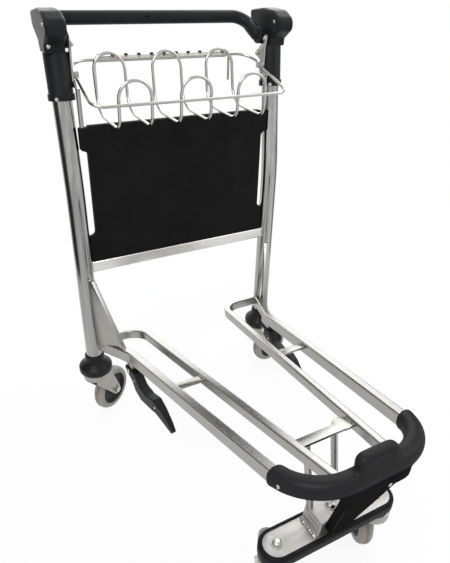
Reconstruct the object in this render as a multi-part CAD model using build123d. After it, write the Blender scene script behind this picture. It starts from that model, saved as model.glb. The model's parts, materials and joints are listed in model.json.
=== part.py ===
from build123d import *
import os
from math import atan2, cos, degrees, hypot, radians, sin, tan

os.makedirs("parts", exist_ok=True)

# Uprights: round tube, vertical below and leaning back above the bend
HALF_TRACK = 262.0
TUBE_D = 42.4
TUBE_WALL = 2.0
TUBE_FOOT_Z = 172.0
BEND_Z = 670.0
BEND_R = 900.0
LEAN = 6.2
TUBE_TOP_Z = 966.0

# Sleeves and housings on top of the uprights
SLEEVE_D = 52.0
SLEEVE_L = 94.0
SLEEVE_FOOT_Z = TUBE_TOP_Z - SLEEVE_L
COLLAR_D = 57.0
COLLAR_H = 14.0
SLEEVE_GAP = 0.1
HOUSING_W = 43.0
HOUSING_OUT = 4.5
HOUSING_X = HALF_TRACK + HOUSING_OUT
HOUSING_H = 81.0
HOUSING_TOP_Z = TUBE_TOP_Z + HOUSING_H
HOUSING_FRONT = 25.0
HOUSING_REAR = 110.0
HOUSING_SKIN_R = 6.0
SCREW_D = 8.0
COLLAR_SCREW_AT = 237.5
SCREW_H = 2.0

# Brake handle, hinged between the housings
BAR_Y = 97.0
BAR_DROP = 22.0
BAR_Z = HOUSING_TOP_Z - BAR_DROP
BAR_BEND_R = 38.0
BAR_CORE_D = 20.0
GRIP_D = 29.0
ARM_IN = 45.0
ARM_X = HALF_TRACK - ARM_IN
PIVOT_Y = 38.0
PIVOT_RISE = 22.0
PIVOT_Z = TUBE_TOP_Z + PIVOT_RISE
PIVOT_PIN_D = 12.0
HUB_D = 38.0
HUB_W = 21.0
HUB_GAP = 1.0
CRANK_T = 12.0
RUN_CLEAR = 0.05

# Wire basket
WIRE_D = 7.0
RIM_IN = 34.0
RIM_X = HALF_TRACK - RIM_IN
RIM_FLARE = 4.0
RIM_FRONT_X = RIM_X + RIM_FLARE
RIM_BACK_Y = 78.0
RIM_BACK_Z = 942.0
RIM_FRONT_Y = -102.0
RIM_FRONT_Z = 878.0
RIM_BACK_R = 42.0
RIM_FRONT_R = 26.0
HOOP_W = 72.0
HOOP_SIDE = 53.0
HOOP_PITCH = RIM_X - HOOP_SIDE - HOOP_W / 2
HOOP_TOP_Z = 956.0
HOOP_FRONT_TOP_Z = 924.0
HOOP_FLOOR_Z = 830.0
HOOP_LEAN = 7.0
HOOP_FRONT_DIP = 5.0
HOOP_BEND_R = 26.0
HOOP_BACK_R = 52.0
STRIP_IN = 63.0
STRIP_L = 2 * (RIM_X - STRIP_IN)
STRIP_H = 13.0
STRIP_T = 3.0
STUD_COUNT = 11
STUD_D = 9.0
STAY_L = 60.0
STAY_IN = 58.0
STAY_X = RIM_X - STAY_IN
BRACKET_T = 4.0
BRACKET_SINK = 1.5
BRACKET_TOP_Z = 992.0
BRACKET_FOOT_Z = 898.0
CLIP_W = 20.0

# Back panel on its two rods
PANEL_T = 14.0
PANEL_IN = 22.0
PANEL_HALF_W = HALF_TRACK - PANEL_IN
PANEL_TOP_Z = 820.0
NOTCH_DEPTH = 15.0
NOTCH_SLOPE = 5.0
NOTCH_R = 11.0
NOTCH_LOW_Z = 558.0
NOTCH_HIGH_Z = 768.0
PANEL_STEP = 3.5
ROD_D = 10.0
ROD_IN = 8.0
ROD_X = PANEL_HALF_W - ROD_IN
ROD_Y = 0.0
ROD_SEAT_Z = NOTCH_HIGH_Z + 6
ROD_PIN_L = 50.0
CROSSBAR_H = 28.0
CROSSBAR_D = 25.0
CROSSBAR_TOP_Z = 495.0

# Load deck: rectangular tube in one plane that climbs towards the nose
DECK_SLOPE = 11.7
DECK_Z = 264.0
OUTER_W = 20.0
OUTER_H = 30.0
INNER_W = 17.0
INNER_H = 24.0
INNER_SLOPE = 10.9
RAIL_CORNER = 4.0
RAIL_WALL = 2.0
RAIL_START_IN = 14.0
RAIL_START_X = HALF_TRACK - RAIL_START_IN
RAIL_BEND_IN = 62.0
RAIL_BEND_X = HALF_TRACK - RAIL_BEND_IN
RAIL_BEND_S = -138.0
RAIL_BEND_R = 70.0
NOSE_HALF_W = 136.0
NOSE_S = -780.0
NOSE_R = 95.0
INNER_S = 2.0
INNER_CORNER_IN = 72.0
INNER_CORNER_X = RAIL_BEND_X - INNER_CORNER_IN
INNER_CORNER_R = 58.0
INNER_NOSE_IN = 78.0
INNER_NOSE_X = NOSE_HALF_W - INNER_NOSE_IN
STRAP_S = -343.0
STRAP_W = 24.0
STRAP_T = 5.0
STRAP_DROP = 8.0
FRONT_PLATE_S = -647.0
FRONT_PLATE_W = 24.0
FRONT_LUG_R = 20.0
FRONT_LUG_X = 46.0

# Gussets and braces
GUSSET_T = 4.0
GUSSET_TOP_Z = 452.0
BRACE_W = 12.0
BRACE_T = 9.0
BRACE_FOOT_IN = 48.0
BRACE_FOOT_X = HALF_TRACK - BRACE_FOOT_IN
BRACE_FOOT_Y = -98.0

# Nose bumper
BUMPER_W = 38.0
BUMPER_H = 38.4
BUMPER_R = 17.0
BUMPER_LIFT = 3.0
BUMPER_END_S = -700.0
BUMPER_ROOT_S = -640.0
FIN_W = 88.0
FIN_T = 24.0
FIN_TOP = 36.0
FIN_FRONT = 16.5
APRON_W = 150.0
APRON_T = 19.0
APRON_DROP = 40.0
APRON_FRONT = 11.0

# Front axle beam and its saddle
AXLE_Y = -685.0
AXLE_STEM_X = 121.0
BEAM_TOP_Z = 194.0
BEAM_H = 20.0
BEAM_HALF_W = 27.5
BEAM_WALL = 4.0
EDGING_T = 9.0
EDGING_H = 22.0
EDGING_R = 6.5
SADDLE_L = 50.0
SADDLE_T = 5.0
SADDLE_TOP_Z = 231.0
SADDLE_HALF_TOP = 42.0
SADDLE_HALF_FOOT = 46.0
SADDLE_FOOT = 4.0
STRUT_D = 14.0
STRUT_TOP_X = 32.0
STRUT_FOOT_X = 30.0
STRUT_SIDE = 8.0
DOME_D = 19.0
DOME_H = 8.0
SKID_TOP_W = 114.0
SKID_FOOT_W = 40.0
SKID_T = 5.0
SKID_FLANGE = 15.0
SKID_FOOT_AHEAD = 27.0
SKID_FOOT_Y = AXLE_Y - SKID_FOOT_AHEAD
SKID_REACH = 68.0
SKID_TOP_Y = SKID_FOOT_Y - SKID_REACH
SKID_TOP_Z = 392.0

# Swivel casters, all four alike
WHEEL_D = 125.0
TYRE_W = 30.0
TYRE_R = 9.0
HUB_WHEEL_D = 92.0
TRAIL = 52.0
REAR_RIGHT_YAW = 35.0
REAR_LEFT_YAW = 12.0
FRONT_RIGHT_YAW = 66.0
FRONT_LEFT_YAW = 64.0
FORK_TOP_Z = 160.0
FORK_HEAD_D = 70.0
FORK_HEAD_T = 17.0
FORK_T = 4.0
FORK_SIDE_GAP = 3.0
AXLE_D = 12.0
AXLE_HEAD_D = 20.0
AXLE_HEAD_H = 6.0
STEM_D = 14.0
STEM_HEAD_D = 24.0
STEM_HEAD_T = 5.0
SEAT_D = 44.0
PLUG_D = 40.0
PLUG_DEPTH = 40.0
SWIVEL_GAP = 1.0

# Rubber bells above the rear casters
BELL_D = 88.0
BELL_FOOT_Z = 161.0
BELL_TOP_Z = 219.0
BELL_NECK_D = 52.0

# Foot levers under the rail bends
LEVER_W = 24.0
LEVER_PIVOT_Y = -137.0
LEVER_PIVOT_Z = 239.0
LEVER_OUT = 1.0
LEVER_X = RAIL_BEND_X + LEVER_OUT
LEVER_PIN_D = 10.0
LEVER_EDGE = 1.2
LEVER_REST = {"right": 0.0, "left": 5.0}
EAR_T = 4.0
EAR_GAP = 0.6
EAR_W = 40.0
EAR_R = 11.0
EAR_WEB_W = 20.0
SLOT_AHEAD = 30.0
RIVET_D = 14.0
RIVET_H = 3.0
RIVET_GAP = 0.4
LEVER_TAPER_S = 125.0
LEVER_TIP_S = 216.0
LEVER_TIP_W = 9.0

# Place of the trolley in its frame: box centred over the floor origin
YAW = radians(REAR_LEFT_YAW)
WHEEL_REACH = (TRAIL + WHEEL_D / 2 - TYRE_R) * cos(YAW) + (TYRE_W / 2 - TYRE_R) * sin(YAW) + TYRE_R
LEFT_REACH = HALF_TRACK + WHEEL_REACH
RIGHT_REACH = HALF_TRACK + BELL_D / 2
SHIFT_X = (RIGHT_REACH - LEFT_REACH) / 2
SLOPE = radians(DECK_SLOPE)
NOSE_AXIS = -NOSE_S * cos(SLOPE) + (OUTER_H / 2 - BUMPER_LIFT) * sin(SLOPE)
NOSE_SKIN = (BUMPER_W / 2 - BUMPER_R) * cos(SLOPE) + (BUMPER_H / 2 - BUMPER_R) * sin(SLOPE) + BUMPER_R
NOSE_REACH = NOSE_AXIS + NOSE_SKIN
BACK_REACH = BAR_Y + GRIP_D / 2
SHIFT_Y = (NOSE_REACH - BACK_REACH) / 2
PLACE = Pos(SHIFT_X, SHIFT_Y, 0)
SIDES = (("right", -1), ("left", 1))
TILT = Pos(0, 0, DECK_Z) * Rot(-DECK_SLOPE, 0, 0)
INNER_TILT = Pos(0, 0, DECK_Z) * Rot(-INNER_SLOPE, 0, 0)


def save(name, shape):
    """Writes one node in the trolley's frame."""
    export_step(PLACE * shape, f"parts/{name}.step")


def group(shapes):
    """Several like solids as one node."""
    solids = []
    for item in shapes:
        solids += list(item.solids())
    return Compound(solids)


def rounded(points, radii, closed=False):
    """Wire through the points, each corner rounded to its own radius."""
    pts = [Vector(*p) for p in points]
    count = len(pts)
    corners = []
    for i in range(count):
        if radii[i] == 0:
            corners.append((pts[i], None, pts[i]))
            continue
        before = (pts[i - 1] - pts[i]).normalized()
        after = (pts[(i + 1) % count] - pts[i]).normalized()
        half = radians(before.get_angle(after)) / 2
        back = radii[i] / tan(half)
        inward = (before + after).normalized()
        middle = pts[i] + inward * (radii[i] / sin(half) - radii[i])
        corners.append((pts[i] + before * back, middle, pts[i] + after * back))
    edges = []
    for i in range(count):
        first, middle, last = corners[i]
        if middle is not None:
            edges.append(Edge.make_three_point_arc(first, middle, last))
        if closed or i < count - 1:
            target = corners[(i + 1) % count][0]
            if (target - last).length > 1e-4:
                edges.append(Edge.make_line(last, target))
    return Wire(edges)


def round_bar(path, diameter):
    """Round section swept along a path."""
    start = Plane(origin=path @ 0, z_dir=path % 0)
    return sweep(start * Circle(diameter / 2), path=path)


def flat_bar(path, wide, high, corner):
    """Rounded rectangle swept along a level path, height upright."""
    across = (path % 0).cross(Vector(0, 0, 1))
    start = Plane(origin=path @ 0, x_dir=across, z_dir=path % 0)
    return sweep(start * RectangleRounded(wide, high, corner), path=path)


def cylinder(base, axis, diameter, length):
    """Round bar from a base point along an axis."""
    return extrude(Plane(origin=base, z_dir=axis) * Circle(diameter / 2), length)


def dome(base, axis, diameter, height):
    """Rounded bolt head standing on a base point."""
    plane = Plane(origin=base, z_dir=axis)
    head = extrude(plane * Circle(diameter / 2), height)
    rings = head.edges().filter_by(GeomType.CIRCLE).sort_by(Axis(plane.origin, plane.z_dir))
    return fillet(rings[-1], height * 0.7)


def prism(plane, points, length, radii=None):
    """Closed outline on a plane, extruded both ways."""
    flat = [(p[0], p[1], 0) for p in points]
    outline = rounded(flat, radii or [0] * len(flat), closed=True)
    face = plane * Face(outline)
    return extrude(face, length / 2, both=True)


def box(low, high):
    """Box between two corners."""
    size = [high[i] - low[i] for i in range(3)]
    middle = [(high[i] + low[i]) / 2 for i in range(3)]
    return Pos(*middle) * Box(*size)


YZ = Plane(origin=(0, 0, 0), x_dir=(0, 1, 0), z_dir=(1, 0, 0))
XZ = Plane(origin=(0, 0, 0), x_dir=(1, 0, 0), z_dir=(0, -1, 0))


def lean_y(z):
    """Height on the upright to its distance behind the vertical part."""
    return max(0.0, (z - BEND_Z) * tan(radians(LEAN)))


LEAN_AXIS = (0, sin(radians(LEAN)), cos(radians(LEAN)))

# Fasteners gather here and are written last
trim_screws = []
frame_bolts = []
caster_stems = []
caster_seats = []

# Uprights
tube_bodies = {}
uprights = {}
for side, sign in SIDES:
    x = sign * HALF_TRACK
    stations = [(x, 0, TUBE_FOOT_Z), (x, 0, BEND_Z), (x, lean_y(TUBE_TOP_Z), TUBE_TOP_Z)]
    path = rounded(stations, [0, BEND_R, 0])
    tube_bodies[side] = round_bar(path, TUBE_D)
    uprights[side] = tube_bodies[side] - round_bar(path, TUBE_D - 2 * TUBE_WALL)
    save(f"upright_{side}", uprights[side])

# Sleeves
sleeves = {}
for side, sign in SIDES:
    x = sign * HALF_TRACK
    foot = (x, lean_y(SLEEVE_FOOT_Z), SLEEVE_FOOT_Z)
    length = (TUBE_TOP_Z - SLEEVE_FOOT_Z) / cos(radians(LEAN))
    body = cylinder(foot, LEAN_AXIS, SLEEVE_D, length)
    plane = Plane(origin=foot, z_dir=LEAN_AXIS)
    collar = extrude(plane * Circle(COLLAR_D / 2), COLLAR_H)
    bore = cylinder(foot, LEAN_AXIS, TUBE_D + 2 * SLEEVE_GAP, length)
    sleeves[side] = body + collar - bore
    save(f"sleeve_{side}", sleeves[side])

# Housings, each carrying one end of the handle's hinge pin
for side, sign in SIDES:
    x = sign * HOUSING_X
    low_y = lean_y(TUBE_TOP_Z)
    half = SLEEVE_D / 2
    outline = [
        (low_y + half, TUBE_TOP_Z),
        (low_y + half + 6, TUBE_TOP_Z + 19),
        (HOUSING_REAR - 5, HOUSING_TOP_Z - 38),
        (HOUSING_REAR, HOUSING_TOP_Z - 7),
        (52, HOUSING_TOP_Z),
        (6, HOUSING_TOP_Z - 3),
        (-HOUSING_FRONT, HOUSING_TOP_Z - 20),
        (-HOUSING_FRONT, HOUSING_TOP_Z - 44),
        (low_y - half, TUBE_TOP_Z + 15),
        (low_y - half, TUBE_TOP_Z),
    ]
    radii = [0, 6, 14, 6, 30, 40, 20, 16, 6, 0]
    plane = Plane(origin=(x, 0, 0), x_dir=(0, 1, 0), z_dir=(1, 0, 0))
    shell = prism(plane, outline, HOUSING_W, radii)
    inner = x - sign * HOUSING_W / 2
    rims = shell.edges().filter_by(lambda e: abs(abs(e.center().X - x) - HOUSING_W / 2) < 0.01)
    rims = rims.filter_by(lambda e: e.center().Z > TUBE_TOP_Z + 1)
    shell = fillet(rims, HOUSING_SKIN_R)
    eye_w = HUB_W if sign > 0 else CRANK_T
    pin_base = (inner - sign * (HUB_GAP + eye_w), PIVOT_Y, PIVOT_Z)
    pin = cylinder(pin_base, (sign, 0, 0), PIVOT_PIN_D, HUB_GAP + eye_w + HOUSING_W / 2)
    frame_bolts.append(pin)
    save(f"housing_{side}", shell - pin - sleeves[side] - tube_bodies[side])

# Screws of the housings and sleeves
for side, sign in SIDES:
    for face in (-1, 1):
        at = (sign * HOUSING_X + face * HOUSING_W / 2, -6, HOUSING_TOP_Z - 27)
        trim_screws.append(dome(at, (face, 0, 0), SCREW_D, SCREW_H))
    z = SLEEVE_FOOT_Z + COLLAR_H / 2
    out = Vector(cos(radians(COLLAR_SCREW_AT)), sin(radians(COLLAR_SCREW_AT)), 0)
    at = Vector(sign * HALF_TRACK, lean_y(z), z) + out * (COLLAR_D / 2 - SCREW_H / 2)
    trim_screws.append(cylinder(at, out, SCREW_D, SCREW_H + 1) - sleeves[side])

# Brake handle: bent into its eye on one side, held by a flat crank on the other
eye_x = HOUSING_X - HOUSING_W / 2 - HUB_GAP
arm = [
    (-eye_x, BAR_Y, BAR_Z),
    (ARM_X, BAR_Y, BAR_Z),
    (ARM_X + 8, PIVOT_Y + 8, PIVOT_Z + 5),
]
bar_path = rounded(arm, [0, BAR_BEND_R, 0])
core = round_bar(bar_path, BAR_CORE_D)
eye = cylinder((eye_x - HUB_W, PIVOT_Y, PIVOT_Z), (1, 0, 0), HUB_D, HUB_W)
eye = fillet(eye.edges().filter_by(GeomType.CIRCLE), 4)
crank_plane = Plane(origin=(-eye_x + CRANK_T / 2, 0, 0), x_dir=(0, 1, 0), z_dir=(1, 0, 0))
crank_line = Vector(BAR_Y - PIVOT_Y, BAR_Z - PIVOT_Z)
crank_side = Vector(-crank_line.Y, crank_line.X).normalized()
crank_ends = [(PIVOT_Y, PIVOT_Z, HUB_D / 2 - 3), (BAR_Y, BAR_Z, GRIP_D / 2)]
crank_web = []
for (y, z, r), ways in zip(crank_ends, ((1, -1), (-1, 1))):
    for way in ways:
        crank_web.append((y + way * r * crank_side.X, z + way * r * crank_side.Y))
crank = prism(crank_plane, crank_web, CRANK_T)
for y, z, r in crank_ends:
    crank = crank + cylinder((-eye_x, y, z), (1, 0, 0), 2 * r, CRANK_T)
bore_d = PIVOT_PIN_D + 2 * RUN_CLEAR
hole = cylinder((-HALF_TRACK, PIVOT_Y, PIVOT_Z), (1, 0, 0), bore_d, 2 * HALF_TRACK)
crank = crank - hole
eye = eye - hole
grip = round_bar(bar_path, GRIP_D) - eye - crank - core - hole
core = core - eye - hole
crank = crank - core
save("handle_core", max(core.solids(), key=lambda s: s.volume))
save("handle_grip", max(grip.solids(), key=lambda s: s.volume))
save("handle_hubs", group([crank, eye]))

# Basket rim
rim_points = [
    (RIM_X, RIM_BACK_Y, RIM_BACK_Z),
    (-RIM_X, RIM_BACK_Y, RIM_BACK_Z),
    (-RIM_FRONT_X, RIM_FRONT_Y, RIM_FRONT_Z),
    (RIM_FRONT_X, RIM_FRONT_Y, RIM_FRONT_Z),
]
rim = round_bar(rounded(rim_points, [RIM_BACK_R, RIM_BACK_R, RIM_FRONT_R, RIM_FRONT_R], True), WIRE_D)
save("basket_rim", rim)

# Basket hoops: closed wires folded up at the back and at the front
back_y = RIM_BACK_Y - WIRE_D
front_y = RIM_FRONT_Y + WIRE_D
back_top = back_y + (HOOP_TOP_Z - RIM_BACK_Z) * tan(radians(HOOP_LEAN))
back_low = back_y - (RIM_BACK_Z - HOOP_FLOOR_Z) * tan(radians(HOOP_LEAN))
hoops = []
for number, name in ((-1, "right"), (0, "middle"), (1, "left")):
    a = number * HOOP_PITCH - HOOP_W / 2
    b = number * HOOP_PITCH + HOOP_W / 2
    fold = [
        (a, back_top, HOOP_TOP_Z),
        (b, back_top, HOOP_TOP_Z),
        (b, back_low, HOOP_FLOOR_Z),
        (b, front_y + 4, HOOP_FLOOR_Z - HOOP_FRONT_DIP),
        (b, front_y, HOOP_FRONT_TOP_Z),
        (a, front_y, HOOP_FRONT_TOP_Z),
        (a, front_y + 4, HOOP_FLOOR_Z - HOOP_FRONT_DIP),
        (a, back_low, HOOP_FLOOR_Z),
    ]
    end = HOOP_W / 2 - 0.2
    bend = HOOP_BEND_R
    back_bend = HOOP_BACK_R
    hoop = round_bar(rounded(fold, [end, end, back_bend, bend, end, end, bend, back_bend], True), WIRE_D)
    hoops.append(hoop)
    save(f"basket_hoop_{name}", hoop - rim)

# Basket back strip with its studs, and the stays
strip_y = RIM_BACK_Y + WIRE_D / 2
strip_low = (-STRIP_L / 2, strip_y, RIM_BACK_Z - STRIP_H / 2)
strip_high = (STRIP_L / 2, strip_y + STRIP_T, RIM_BACK_Z + STRIP_H / 2)
strip = box(strip_low, strip_high)
save("basket_strip", strip)
studs = []
for i in range(STUD_COUNT):
    x = (i / (STUD_COUNT - 1) - 0.5) * (STRIP_L - 2 * STUD_D)
    studs.append(dome((x, strip_y + STRIP_T / 2, RIM_BACK_Z + STRIP_H / 2), (0, 0, 1), STUD_D, 4))
save("basket_studs", group(studs))
stays = []
for side, sign in SIDES:
    x = sign * STAY_X
    stay = cylinder((x, RIM_BACK_Y, RIM_BACK_Z), (0, 0, -1), WIRE_D - 1, STAY_L)
    stays.append(stay - rim)
save("basket_stays", group(stays))

# Basket brackets against the sleeves
for side, sign in SIDES:
    outer = HALF_TRACK - SLEEVE_D / 2 + BRACKET_SINK
    mid = sign * (outer - BRACKET_T / 2)
    plane = Plane(origin=(mid, 0, 0), x_dir=(0, 1, 0), z_dir=(1, 0, 0))
    outline = [
        (6, BRACKET_TOP_Z),
        (16, BRACKET_TOP_Z),
        (23, BRACKET_TOP_Z - 22),
        (54, BRACKET_TOP_Z - 42),
        (52, BRACKET_TOP_Z - 51),
        (25, BRACKET_TOP_Z - 61),
        (36, BRACKET_FOOT_Z + 14),
        (24, BRACKET_FOOT_Z),
        (-3, BRACKET_FOOT_Z),
        (-3, BRACKET_FOOT_Z + 5),
        (15, BRACKET_FOOT_Z + 14),
        (14, BRACKET_TOP_Z - 30),
    ]
    plate = prism(plane, outline, BRACKET_T, [4, 4, 8, 4, 4, 8, 8, 5, 2, 2, 6, 10])
    wire_y = 22.0
    wire_z = RIM_BACK_Z + (wire_y - RIM_BACK_Y) * (RIM_BACK_Z - RIM_FRONT_Z) / (RIM_BACK_Y - RIM_FRONT_Y)
    clip_low = sign * (RIM_X - 5)
    clip_high = sign * (outer - BRACKET_T)
    clip = box(
        (min(clip_low, clip_high), wire_y - CLIP_W / 2, wire_z - 7),
        (max(clip_low, clip_high), wire_y + CLIP_W / 2, wire_z + 7),
    )
    save(f"basket_bracket_{side}", plate + clip - rim - sleeves[side])
    for y, z in ((12, BRACKET_TOP_Z - 9), (45, BRACKET_TOP_Z - 45), (23, BRACKET_FOOT_Z + 9)):
        at = (sign * (outer - BRACKET_T), y, z)
        frame_bolts.append(dome(at, (-sign, 0, 0), 11, 5))

# Lower crossbar
low_z = CROSSBAR_TOP_Z - CROSSBAR_H / 2
bar_path = Wire([Edge.make_line((-HALF_TRACK, 0, low_z), (HALF_TRACK, 0, low_z))])
crossbar = flat_bar(bar_path, CROSSBAR_D, CROSSBAR_H, 3)
crossbar = crossbar - flat_bar(bar_path, CROSSBAR_D - 4, CROSSBAR_H - 4, 1.5)
for side, sign in SIDES:
    crossbar = crossbar - tube_bodies[side]
save("lower_crossbar", crossbar)

# Panel rods
rods = []
for side, sign in SIDES:
    seat = (sign * ROD_X, ROD_Y, ROD_SEAT_Z)
    rods.append(cylinder(seat, (0, 0, 1), ROD_D, BRACKET_FOOT_Z - ROD_SEAT_Z))
    rods.append(cylinder((sign * ROD_X, ROD_Y, CROSSBAR_TOP_Z), (0, 0, 1), ROD_D, ROD_PIN_L))
save("panel_rods", group(rods))

# Back panel
half = PANEL_HALF_W
neck = PANEL_HALF_W - NOTCH_DEPTH
right_half = [
    (half, CROSSBAR_TOP_Z),
    (half, NOTCH_LOW_Z),
    (neck, NOTCH_LOW_Z + NOTCH_SLOPE),
    (neck, NOTCH_HIGH_Z - NOTCH_SLOPE),
    (half, NOTCH_HIGH_Z),
    (half, PANEL_TOP_Z - PANEL_STEP),
    (half - 18, PANEL_TOP_Z - PANEL_STEP),
    (half - 22, PANEL_TOP_Z),
]
left_half = [(-p[0], p[1]) for p in reversed(right_half)]
bend = [3, 4, NOTCH_R, NOTCH_R, 4, 4, 2, 3]
panel = prism(XZ, right_half + left_half, PANEL_T, bend + bend[::-1])
for side, sign in SIDES:
    rod_bore = ROD_D + 2 * SLEEVE_GAP
    panel = panel - cylinder((sign * ROD_X, ROD_Y, ROD_SEAT_Z), (0, 0, 1), rod_bore, PANEL_TOP_Z - ROD_SEAT_Z)
    panel = panel - cylinder((sign * ROD_X, ROD_Y, CROSSBAR_TOP_Z), (0, 0, 1), rod_bore, ROD_PIN_L)
    panel = panel - tube_bodies[side]
save("back_panel", panel)

# Deck rails in the flat of the deck, then tilted
centre_t = -OUTER_H / 2
outer_points = [
    (-RAIL_START_X, -4, centre_t),
    (-RAIL_BEND_X, RAIL_BEND_S, centre_t),
    (-NOSE_HALF_W, NOSE_S, centre_t),
    (NOSE_HALF_W, NOSE_S, centre_t),
    (RAIL_BEND_X, RAIL_BEND_S, centre_t),
    (RAIL_START_X, -4, centre_t),
]
outer_path = rounded(outer_points, [0, RAIL_BEND_R, NOSE_R, NOSE_R, RAIL_BEND_R, 0])
outer_flat = flat_bar(outer_path, OUTER_W, OUTER_H, RAIL_CORNER)
outer_body = TILT * outer_flat
inside = flat_bar(outer_path, OUTER_W - 2 * RAIL_WALL, OUTER_H - 2 * RAIL_WALL, RAIL_CORNER - RAIL_WALL)
outer_rail = outer_body - TILT * inside
for side, sign in SIDES:
    outer_rail = outer_rail - tube_bodies[side]
save("outer_rail", max(outer_rail.solids(), key=lambda s: s.volume))

inner_bodies = {}
for side, sign in SIDES:
    drop = -INNER_H / 2
    points = [
        (sign * (HALF_TRACK - 4), INNER_S, drop),
        (sign * INNER_CORNER_X, INNER_S, drop),
        (sign * INNER_NOSE_X, NOSE_S, drop),
    ]
    path = rounded(points, [0, INNER_CORNER_R, 0])
    body = INNER_TILT * flat_bar(path, INNER_W, INNER_H, RAIL_CORNER)
    bore = flat_bar(path, INNER_W - 2 * RAIL_WALL, INNER_H - 2 * RAIL_WALL, RAIL_CORNER - RAIL_WALL)
    inner_bodies[side] = body
    rail = body - INNER_TILT * bore - tube_bodies[side] - outer_body
    save(f"inner_rail_{side}", max(rail.solids(), key=lambda s: s.volume))

# Straps between the rails
outer_lean = (RAIL_BEND_X - NOSE_HALF_W) / (RAIL_BEND_S - NOSE_S)
inner_lean = (INNER_CORNER_X - INNER_NOSE_X) / (INNER_S - NOSE_S)
straps = []
for side, sign in SIDES:
    low = sign * (INNER_NOSE_X + inner_lean * (STRAP_S - NOSE_S))
    high = sign * (NOSE_HALF_W + outer_lean * (STRAP_S - NOSE_S))
    strap = box(
        (min(low, high), STRAP_S - STRAP_W / 2, -STRAP_DROP - STRAP_T),
        (max(low, high), STRAP_S + STRAP_W / 2, -STRAP_DROP),
    )
    strap = TILT * strap - outer_body - inner_bodies[side]
    straps.append(max(strap.solids(), key=lambda s: s.volume))
save("deck_straps", group(straps))

# Front plate with its rounded lug
plate_x = INNER_NOSE_X + inner_lean * (FRONT_PLATE_S - NOSE_S)
plate = box(
    (-plate_x, FRONT_PLATE_S - FRONT_PLATE_W / 2, -STRAP_DROP - STRAP_T),
    (plate_x, FRONT_PLATE_S + FRONT_PLATE_W / 2, -STRAP_DROP),
)
lug_base = (FRONT_LUG_X, FRONT_PLATE_S + 6, -STRAP_DROP - STRAP_T)
plate = plate + cylinder(lug_base, (0, 0, 1), 2 * FRONT_LUG_R, STRAP_T)
plate = INNER_TILT * plate
for side, sign in SIDES:
    plate = plate - inner_bodies[side]
front_plate = max(plate.solids(), key=lambda s: s.volume)
save("front_plate", front_plate)

# Gussets and braces, standing on the first leg of the outer rail
braces = []
gussets = []
for side, sign in SIDES:
    root = Vector(sign * (HALF_TRACK - 6), 1 - TUBE_D / 2, 0)
    foot = Vector(sign * BRACE_FOOT_X, BRACE_FOOT_Y, 0)
    reach = (foot - root).length
    out = (foot - root).normalized()
    plane = Plane(origin=root, x_dir=out, z_dir=out.cross(Vector(0, 0, 1)))
    foot_z = DECK_Z - BRACE_FOOT_Y * tan(radians(DECK_SLOPE))
    slope = atan2(GUSSET_TOP_Z - foot_z, reach)
    over = BRACE_T / sin(slope)
    web = [(0, DECK_Z - 4), (reach, DECK_Z - 4), (reach, foot_z), (0, GUSSET_TOP_Z)]
    web_solid = prism(plane, web, GUSSET_T)
    lean_bar = [
        (reach, foot_z - 20),
        (reach + over, foot_z - 20),
        (reach + over, foot_z),
        (over, GUSSET_TOP_Z),
        (0, GUSSET_TOP_Z),
        (reach, foot_z),
    ]
    brace = prism(plane, lean_bar, BRACE_W) - outer_body - tube_bodies[side]
    brace = max(brace.solids(), key=lambda s: s.volume)
    web_solid = web_solid - outer_body - tube_bodies[side] - inner_bodies[side] - brace
    gussets.append(max(web_solid.solids(), key=lambda s: s.volume))
    braces.append(brace)
save("gussets", group(gussets))
save("braces", group(braces))

# Nose bumper over the bend of the outer rail
skin_t = centre_t + BUMPER_LIFT
end_x = NOSE_HALF_W + outer_lean * (BUMPER_END_S - NOSE_S)
root_x = NOSE_HALF_W + outer_lean * (BUMPER_ROOT_S - NOSE_S)
nose_points = [
    (root_x, BUMPER_ROOT_S, skin_t),
    (NOSE_HALF_W, NOSE_S, skin_t),
    (-NOSE_HALF_W, NOSE_S, skin_t),
    (-root_x, BUMPER_ROOT_S, skin_t),
]
nose_path = rounded(nose_points, [0, NOSE_R, NOSE_R, 0])
sleeve = flat_bar(nose_path, BUMPER_W, BUMPER_H, BUMPER_R)
behind = (root_x + BUMPER_W, BUMPER_ROOT_S + BUMPER_W, skin_t + BUMPER_H)
sleeve = sleeve - box((-behind[0], BUMPER_END_S, skin_t - BUMPER_H), behind)
fin = box((-FIN_W / 2, NOSE_S - FIN_FRONT, skin_t), (FIN_W / 2, NOSE_S - FIN_FRONT + FIN_T, FIN_TOP))
fin = fillet(fin.edges().filter_by(Axis.Y).sort_by(Axis.Z)[-2:], 16)
fin = fillet(fin.faces().sort_by(Axis.Z)[-1].edges().filter_by(Axis.X), 8)
apron_low = (-APRON_W / 2, NOSE_S - APRON_FRONT, skin_t - APRON_DROP)
apron = box(apron_low, (APRON_W / 2, NOSE_S - APRON_FRONT + APRON_T, skin_t))
apron = fillet(apron.edges().filter_by(Axis.Y).sort_by(Axis.Z)[:2], 18)
bumper_flat = sleeve + fin + apron
bumper_body = TILT * bumper_flat
bumper = TILT * (bumper_flat - outer_flat)
for side, sign in SIDES:
    bumper = bumper - inner_bodies[side]
save("nose_bumper", max(bumper.solids(), key=lambda s: s.volume))
pegs = []
for side, sign in SIDES:
    at = TILT * Pos(sign * (end_x + BUMPER_W / 2 - 16), BUMPER_END_S - 26, skin_t)
    pegs.append(cylinder(at.position, (sign, 0, 0), SCREW_D, SCREW_H + 8) - bumper_body)
at = TILT * Pos(FIN_W / 4, NOSE_S - APRON_FRONT + 4, skin_t - APRON_DROP + 10)
pegs.append(cylinder(at.position, (0, -1, 0), SCREW_D, SCREW_H + 4) - bumper_body)
for peg in pegs:
    trim_screws.append(max(peg.solids(), key=lambda s: s.volume))

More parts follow.
